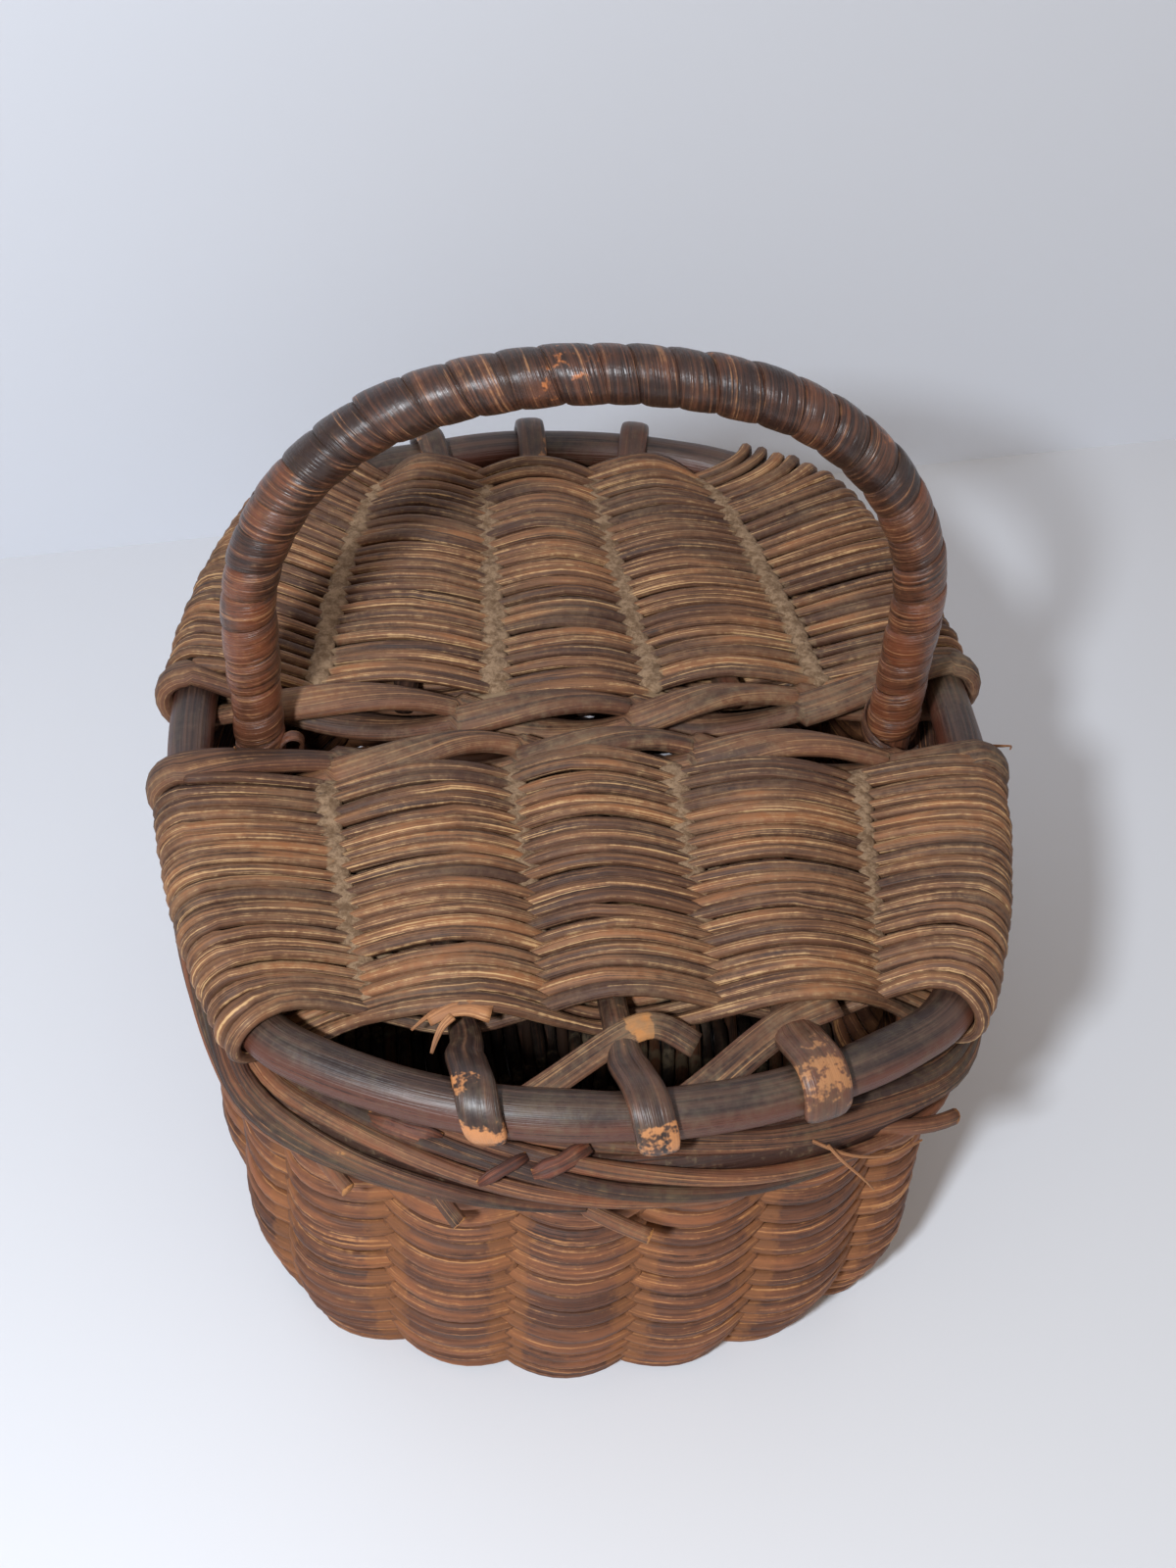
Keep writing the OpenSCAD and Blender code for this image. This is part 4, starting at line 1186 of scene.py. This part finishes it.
    def pieces(self) -> Iterator[Piece]:
        """Return the border's pieces."""
        yield Piece("border_rods", self.rods(), "border_willow", "border_willow",
                    ("border_skirt_rod", "border_outer_rod", "border_inner_rod", "border_top_rod"))
        yield Piece("border_core", [self.core()], "bow_wood", "stick_willow")
        yield Piece("border_cut_rods", self.cut_ends(), "border_willow", "worn_willow", ("border_cut_ends",))
        yield Piece("bark_flakes", self.flakes(), "bark_flake", "worn_willow")
        yield Piece("loose_fibres", self.fibres(), "torn_fibre", "worn_willow")


@dataclass
class Base:
    """The woven base: rings of strands round the sticks."""

    thickness: float = 9.0
    inset: float = 17.0
    pitch: float = 4.2
    ring_count: int = 21
    wave_depth: float = 2.4
    squareness: float = 2.6
    seed: int = 21

    def rings(self) -> Iterator[Strand]:
        """Weave each ring over and under the sticks."""
        rng = np.random.default_rng(self.seed)
        for number in range(self.ring_count):
            gap = self.inset + number * self.pitch
            halves = OVAL.half_w - gap, OVAL.half_l - gap
            waves = 2 * max(6, round(sum(halves) / 22)) + 1
            angle = 2 * math.pi * np.arange(waves * 7) / (waves * 7)
            wave = np.cos(waves / 2 * angle + math.pi * number)
            plan = [half * np.sign(turn) * np.abs(turn) ** (2 / self.squareness)
                    for half, turn in zip(halves, (np.cos(angle), np.sin(angle)))]
            spot = np.stack([*plan, self.thickness / 2 + self.wave_depth * wave], -1)
            yield Strand(spot, upright(len(spot)), 2.1, 1.9, np.abs(wave), float(rng.uniform(0.2, 0.8)), start=Cap.RING)

    def pieces(self) -> Iterator[Piece]:
        """Return the base."""
        # the base takes the darkened finish: painted shade inside the basket
        yield Piece("base_weave_strands", self.rings(), "interior_shade_willow", "wall_willow", ("base_weave",))


@dataclass
class BowHandle:
    """The bow: a bent rod, its winding of split willow and the skeins at its feet."""

    hoop_z: float
    bow_y: float = -4.0
    leg_x: float = 86.5
    core_r: float = 5.6
    leg_rise: float = 41.7
    shoulder_r: float = 71.0
    shoulder_a: float = 74.0
    foot_z: float = 23.0
    drop: float = 8.0
    turns: int = 34
    tie_r: float = 7.9
    skein_half_t: float = 1.35
    skein_gap: float = 0.15
    skein_tilt: float = 2.0
    lap: float = 0.53
    seed: int = 13

    @property
    def bend(self) -> float:
        """Return the angle through which each shoulder turns."""
        return math.radians(self.shoulder_a)

    @property
    def crown_r(self) -> float:
        """Return the radius of the crown between the shoulders."""
        return self.shoulder_r + (self.leg_x - self.shoulder_r) / math.cos(self.bend)

    @property
    def marks(self) -> Array:
        """Return the winding's length up to the end of the leg, shoulder, crown, shoulder and leg."""
        leg, shoulder = self.leg_rise + self.drop, self.shoulder_r * self.bend
        return np.cumsum([leg, shoulder, self.crown_r * (math.pi - 2 * self.bend), shoulder, leg])

    def line(self, length: Array) -> tuple[Array, Array]:
        """Find points on the bow's middle line.

        Args:
            length: Length from the start of the winding on the right leg.

        Returns:
            The points (n, 3) and the directions (n, 3) square to the bow in its plane.
        """
        spring = self.hoop_z + self.leg_rise
        inner_x = self.leg_x - self.shoulder_r
        marks = self.marks
        angles = [np.zeros_like(length), (length - marks[0]) / self.shoulder_r,
                  self.bend + (length - marks[1]) / self.crown_r,
                  math.pi - self.bend + (length - marks[2]) / self.shoulder_r]
        cases = [length < mark for mark in marks[:4]]
        angle = np.select(cases, angles, math.pi)
        radius = np.select(cases[1:3], [self.shoulder_r, self.crown_r], self.shoulder_r)
        x_mid = np.select(cases[1:3], [inner_x, 0.0], -inner_x)
        crown_z = spring - inner_x * math.tan(self.bend)
        z_mid = np.select(cases, [self.hoop_z - self.drop + length, spring, crown_z, spring],
                          spring - (length - marks[3]))
        aim = np.stack([np.cos(angle), np.zeros_like(angle), np.sin(angle)], -1)
        return np.stack([x_mid, np.full_like(angle, self.bow_y), z_mid], -1) + radius[:, None] * aim, aim

    def winding(self) -> Strand:
        """Wind one flat skein round the bow, each turn lapping the one before."""
        rng = np.random.default_rng(self.seed)
        per = 30
        count = self.turns * per
        pitches = 1 + rng.normal(0, 0.11, self.turns + 1)
        edges = np.concatenate([[0.0], np.cumsum(pitches)]) * self.marks[-1] / pitches.sum()
        turn_at = np.arange(count) / per
        pitch = np.interp(turn_at + 0.5, np.arange(self.turns + 1) + 0.5, np.diff(edges))
        turn = 2 * math.pi * turn_at
        spot, aim = self.line(np.interp(turn_at + 0.5, range(self.turns + 2), edges))
        side = np.array([0.0, 1.0, 0.0])
        out = aim * np.cos(turn)[:, None] + side * np.sin(turn)[:, None]
        lump = wobble(rng, count, self.turns, 0.14) + wobble(rng, count, self.turns * 4, 0.07)
        centre = spot + out * (self.core_r + self.skein_gap + lump)[:, None]
        tilt = math.radians(self.skein_tilt)
        up = unit(out * math.cos(tilt) - np.cross(aim, side) * math.sin(tilt))
        tone = np.clip(0.42 + wobble(rng, count, self.turns * 2, 0.16), 0.02, 0.98)
        height = spot[:, 2] - self.hoop_z
        tone = np.clip(tone + np.interp(height, [0, 45, 90], [0.5, 0.3, -0.12]), 0.02, 1.3)
        bare = np.interp(height, [30, 70, 110], [0.1, 0.3, 0.34]) * (spot[:, 0] < 40)
        bare = np.clip(bare + wobble(rng, count, self.turns, 0.05), 0, 0.42)
        return Strand(centre, up, pitch * self.lap, self.skein_half_t, 1.0, tone, bare, sides=16, boxy=2.5)

    def rod(self) -> Strand:
        """Bend the bow's rod, pointed where its legs end in the wall."""
        low, whole = self.hoop_z - self.drop - self.foot_z, self.marks[-1]
        length = np.linspace(-low, whole + low, 260)
        inner = np.clip(length, 0.0, whole)
        spot, aim = self.line(inner)
        spot[:, 2] -= np.abs(length - inner)
        size = np.interp(spot[:, 2], [self.foot_z, self.foot_z + 12], [self.core_r / 2, self.core_r])
        return Strand(spot, aim, size, size, 1.0, 0.5, start=Cap.CUT, end=Cap.CUT, sides=18)

    def ties(self) -> Iterator[Strand]:
        """Lay the flat skeins at the feet: a slanting band on the right, a curl on the left."""
        turn = np.radians(np.linspace(75, 330, 26))
        slant = (np.linspace(0, 1, 26) - 0.4) * 13.0
        up = np.stack([np.cos(turn), np.sin(turn), np.zeros(26)], -1)
        spot = np.array([self.leg_x, self.bow_y, self.hoop_z + 2]) + up * np.array([self.tie_r, self.tie_r * 1.05, 0.0])
        yield Strand(spot - np.outer(slant, UP) * 0.9, up, 2.6, 0.55, 1.0, 0.6, boxy=3.0)
        curl = np.radians(np.linspace(-70, 130, 18))
        up = np.stack([np.sin(curl), np.zeros(18), np.cos(curl)], -1)
        spot = np.array([-self.leg_x + 8.4, self.bow_y - 2.0, self.hoop_z]) + up * np.array([3.0, 0.0, 3.8])
        spot[:, 1] += np.linspace(-1.5, 1.5, 18)
        yield Strand(spot, up, 2.0, 0.45, 1.0, 0.8, boxy=3.0)

    def pieces(self) -> Iterator[Piece]:
        """Return the handle's pieces."""
        yield Piece("bow_rod", [self.rod()], "bow_wood", "bow_wood", ("handle_bow",))
        yield Piece("bow_winding", [self.winding()], "winding_skein", "winding_skein", ("handle_winding",))
        yield Piece("bow_ties", self.ties(), "winding_skein", "tie_skein", ("handle_tie_left", "handle_tie_right"))


@dataclass
class FrontStrips:
    """The flat strand ends that cross the openings at the front of the lid."""

    hoop_z: float

    def strips(self) -> Iterator[Strand]:
        """Slant the last two flat strands from the weave down to the hoop."""
        for points, half_w, worn in (
            (((-26, -129.0, 0.5), (-16, -123.0, 2.2), (-4, -115.0, 4.4), (6, -109.0, 6.0), (12, -108.5, 4.0),
              (19, -112.0, 0.6)), 3.5, 0.75),
            (((14, -129.0, 0.4), (22, -123.5, 2.0), (32, -115.5, 4.0), (42, -108.5, 5.6), (53, -104.0, 5.6)), 4.3, 0.0),
        ):
            up = unit(np.tile([0.12, -0.25, 1.0], (22, 1)))
            bare = np.exp(-((np.arange(22) - 13) / 2.2) ** 2) * worn
            yield Strand(eased(points, 22, 6) + self.hoop_z * UP, up, half_w, 0.8, 0.9, 0.35, bare, end=Cap.CUT,
                         sides=10, boxy=3.2)

    def torn(self) -> Iterator[Strand]:
        """Peel the last row back where it passes the left stake, with split ends hanging to the left."""
        for *points, wide, tip in (
            ((-29.0, -107.5, 9.4), (-34.0, -106.5, 10.8), (-39.0, -107.0, 10.4), (-43.5, -108.5, 8.4), 2.5, 1.4),
            ((-38.0, -108.5, 10.0), (-40.5, -110.5, 9.0), (-42.0, -113.0, 7.0), (-43.0, -115.5, 5.4), 1.2, 0.4),
            ((-38.0, -105.6, 10.6), (-42.0, -106.4, 9.4), (-45.0, -107.6, 7.6), (-47.5, -109.4, 6.4), 0.9, 0.3),
        ):
            yield Strand(eased(points, 13, 3) + self.hoop_z * UP, np.tile([0.0, -0.35, 0.94], (13, 1)),
                         np.linspace(wide, tip, 13), 0.45, 1.0, 0.6, start=Cap.CUT, end=Cap.CUT, boxy=3.0)

    def pieces(self) -> Iterator[Piece]:
        """Return the strips and the torn row."""
        yield Piece("front_strip_ends", self.strips(), "slot_edge_willow", "lid_willow", ("front_end_strips",))
        yield Piece("torn_row_end", self.torn(), "torn_fibre", "worn_willow")


class Studio:
    """Floor, backdrop, lamp, room and camera."""

    CAMERA_PLACE = (-47.06, -393.52, 365.03)
    CAMERA_ELEVATION, CAMERA_AZIMUTH, CAMERA_ROLL = 0.774, -0.128, 0.070
    LENS = 45.0
    KEY_PLACE = (-249, -536, 640)
    KEY_WATTS, KEY_SIZE, KEY_COLOUR = 5.9, 0.07, (0.89, 0.94, 1.0)
    ROOM_COLOUR, ROOM_STRENGTH = (1.0, 0.84, 0.68, 1.0), 0.42
    PALE_COLOUR = srgb(214, 219, 228)
    FLOOR = ((-2.5, -4.0, 0), (2.5, -4.0, 0), (2.5, 0.67, 0), (-2.5, -0.115, 0))
    BACKDROP = ((-2.5, -0.115, 0), (2.5, 0.67, 0), (2.5, 0.67, 1.4), (-2.5, -0.115, 1.4))

    def __init__(self, hoop_z: float) -> None:
        """Set the studio up.

        Args:
            hoop_z: Height of the hoop's plane, from which the camera's place was measured.
        """
        self.hoop_z = hoop_z
        self.camera()
        self.lights()
        self.floor()

    @staticmethod
    def add(piece: bpy.types.Object) -> bpy.types.Object:
        """Link an object to the scene and return it."""
        bpy.context.scene.collection.objects.link(piece)
        return piece

    def floor(self) -> None:
        """Lay a pale floor that ends at a pale backdrop, which shows its face only."""
        sheets = ("floor", "pale_table", self.FLOOR), ("backdrop", "pale_backdrop", self.BACKDROP)
        for name, finish, corners in sheets:
            work = bmesh.new()
            bmesh.ops.create_grid(work, x_segments=1, y_segments=1, size=1.0)
            order = sorted(work.verts, key=lambda v: (round(v.co.y), round(v.co.x) * (1 if v.co.y < 0 else -1)))
            for vert, corner in zip(order, corners):
                vert.co = corner
            work.normal_update()
            for face in work.faces:
                if face.normal.y > 0.5 or face.normal.z < -0.5:
                    face.normal_flip()
            mesh = bpy.data.meshes.new(name)
            work.to_mesh(mesh)
            work.free()
            mesh.materials.append(material(finish))
            self.add(bpy.data.objects.new(name, mesh))

    def camera(self) -> None:
        """Stand the camera where the photograph was taken."""
        elevation, azimuth, roll = self.CAMERA_ELEVATION, self.CAMERA_AZIMUTH, self.CAMERA_ROLL
        back = Vector((math.sin(azimuth) * math.cos(elevation), -math.cos(azimuth) * math.cos(elevation),
                       math.sin(elevation)))
        right = Vector((math.cos(azimuth), math.sin(azimuth), 0.0))
        up = back.cross(right)
        matrix = Matrix((right * math.cos(roll) + up * math.sin(roll),
                         up * math.cos(roll) - right * math.sin(roll), back)).transposed().to_4x4()
        x, y, above_hoop = self.CAMERA_PLACE
        matrix.translation = Vector((x, y, above_hoop + self.hoop_z)) * MM
        data = bpy.data.cameras.new("camera")
        data.lens, data.sensor_width, data.sensor_fit = self.LENS, 36.0, "AUTO"
        data.clip_start = 0.01
        camera = self.add(bpy.data.objects.new("camera", data))
        camera.matrix_world = matrix
        bpy.context.scene.camera = camera

    def lights(self) -> None:
        """Hang one small lamp up and left of the camera, and light the room evenly and warmly."""
        data = bpy.data.lights.new("key", "AREA")
        data.shape, data.size, data.energy, data.color = "DISK", self.KEY_SIZE, self.KEY_WATTS, self.KEY_COLOUR
        key = self.add(bpy.data.objects.new("key", data))
        spot = Vector(self.KEY_PLACE) * MM
        key.location = spot
        aim = Vector((0.0, 0.0, self.hoop_z * 0.7)) * MM - spot
        key.rotation_euler = aim.to_track_quat("-Z", "Y").to_euler()
        room = Graph("room", world=True)
        path = room.node("LightPath")
        mirrored = room.maths("MAXIMUM", room.out(path, "Is Glossy Ray"), room.out(path, "Is Transmission Ray"))
        seen = room.maths("MAXIMUM", room.out(path, "Is Camera Ray"), mirrored)
        warm, pale = (room.out(room.node("Background", {"Color": colour, "Strength": strength}))
                      for colour, strength in ((self.ROOM_COLOUR, self.ROOM_STRENGTH), (self.PALE_COLOUR, 1.0)))
        room.node("OutputWorld", {0: room.mix(seen, warm, pale)})
        bpy.context.scene.world = room.owner
        bpy.context.scene.view_settings.view_transform = "Standard"


def main(frame: dict) -> None:
    """Build every piece and put it on its body.
    """
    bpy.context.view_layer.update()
    low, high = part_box("lid_hoop")
    hoop_z = (low[2] + high[2]) / 2 / MM
    Studio(hoop_z)
    front = LidHalf(Side.FRONT, hoop_z, (-42, 0, 49), (-34, 4, 46), 40, -105.0, (-26, -24), (-106, -104), 17.0,
                    (4.9, 5.0, 6.1), twist_lead=-0.1, seed=3)
    rear = LidHalf(Side.REAR, hoop_z, (-48, 2, 44), (-38, -6, 27), 48, 117.0, (18, 12), (118, 119), 12.5,
                   (4.4, 4.4, 4.4), hump=5.6, hump_gain=1.4, stake_gain=1.4, worn=((0.0, 0.1, 0.3),) * 3,
                   worn_slant=(0.0, 0.0, 0.0), tongue_lean=(0.0, 0.0, 0.0), tongue_shift=(0.0, 0.0, 0.0),
                   twist_lead=0.2, seed=4)
    bodies = {"lid": (Hoop(hoop_z), front, rear, FrontStrips(hoop_z)),
              "basket": (Wall(), Border(), Base(), BowHandle(hoop_z))}
    for body, groups in bodies.items():
        for group in groups:
            for piece in group.pieces():
                piece.build(body)
    # the base sticks take the darkened finish: painted shade inside the basket
    for name in ("base_long_sticks", "base_cross_sticks"):
        frame["nodes"][name].data.materials.clear()
        frame["nodes"][name].data.materials.append(material("base_stick_shade_wood"))


if __name__ == "__main__":
    logging.basicConfig(level=logging.INFO, format="%(name)s: %(message)s")
    main(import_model())
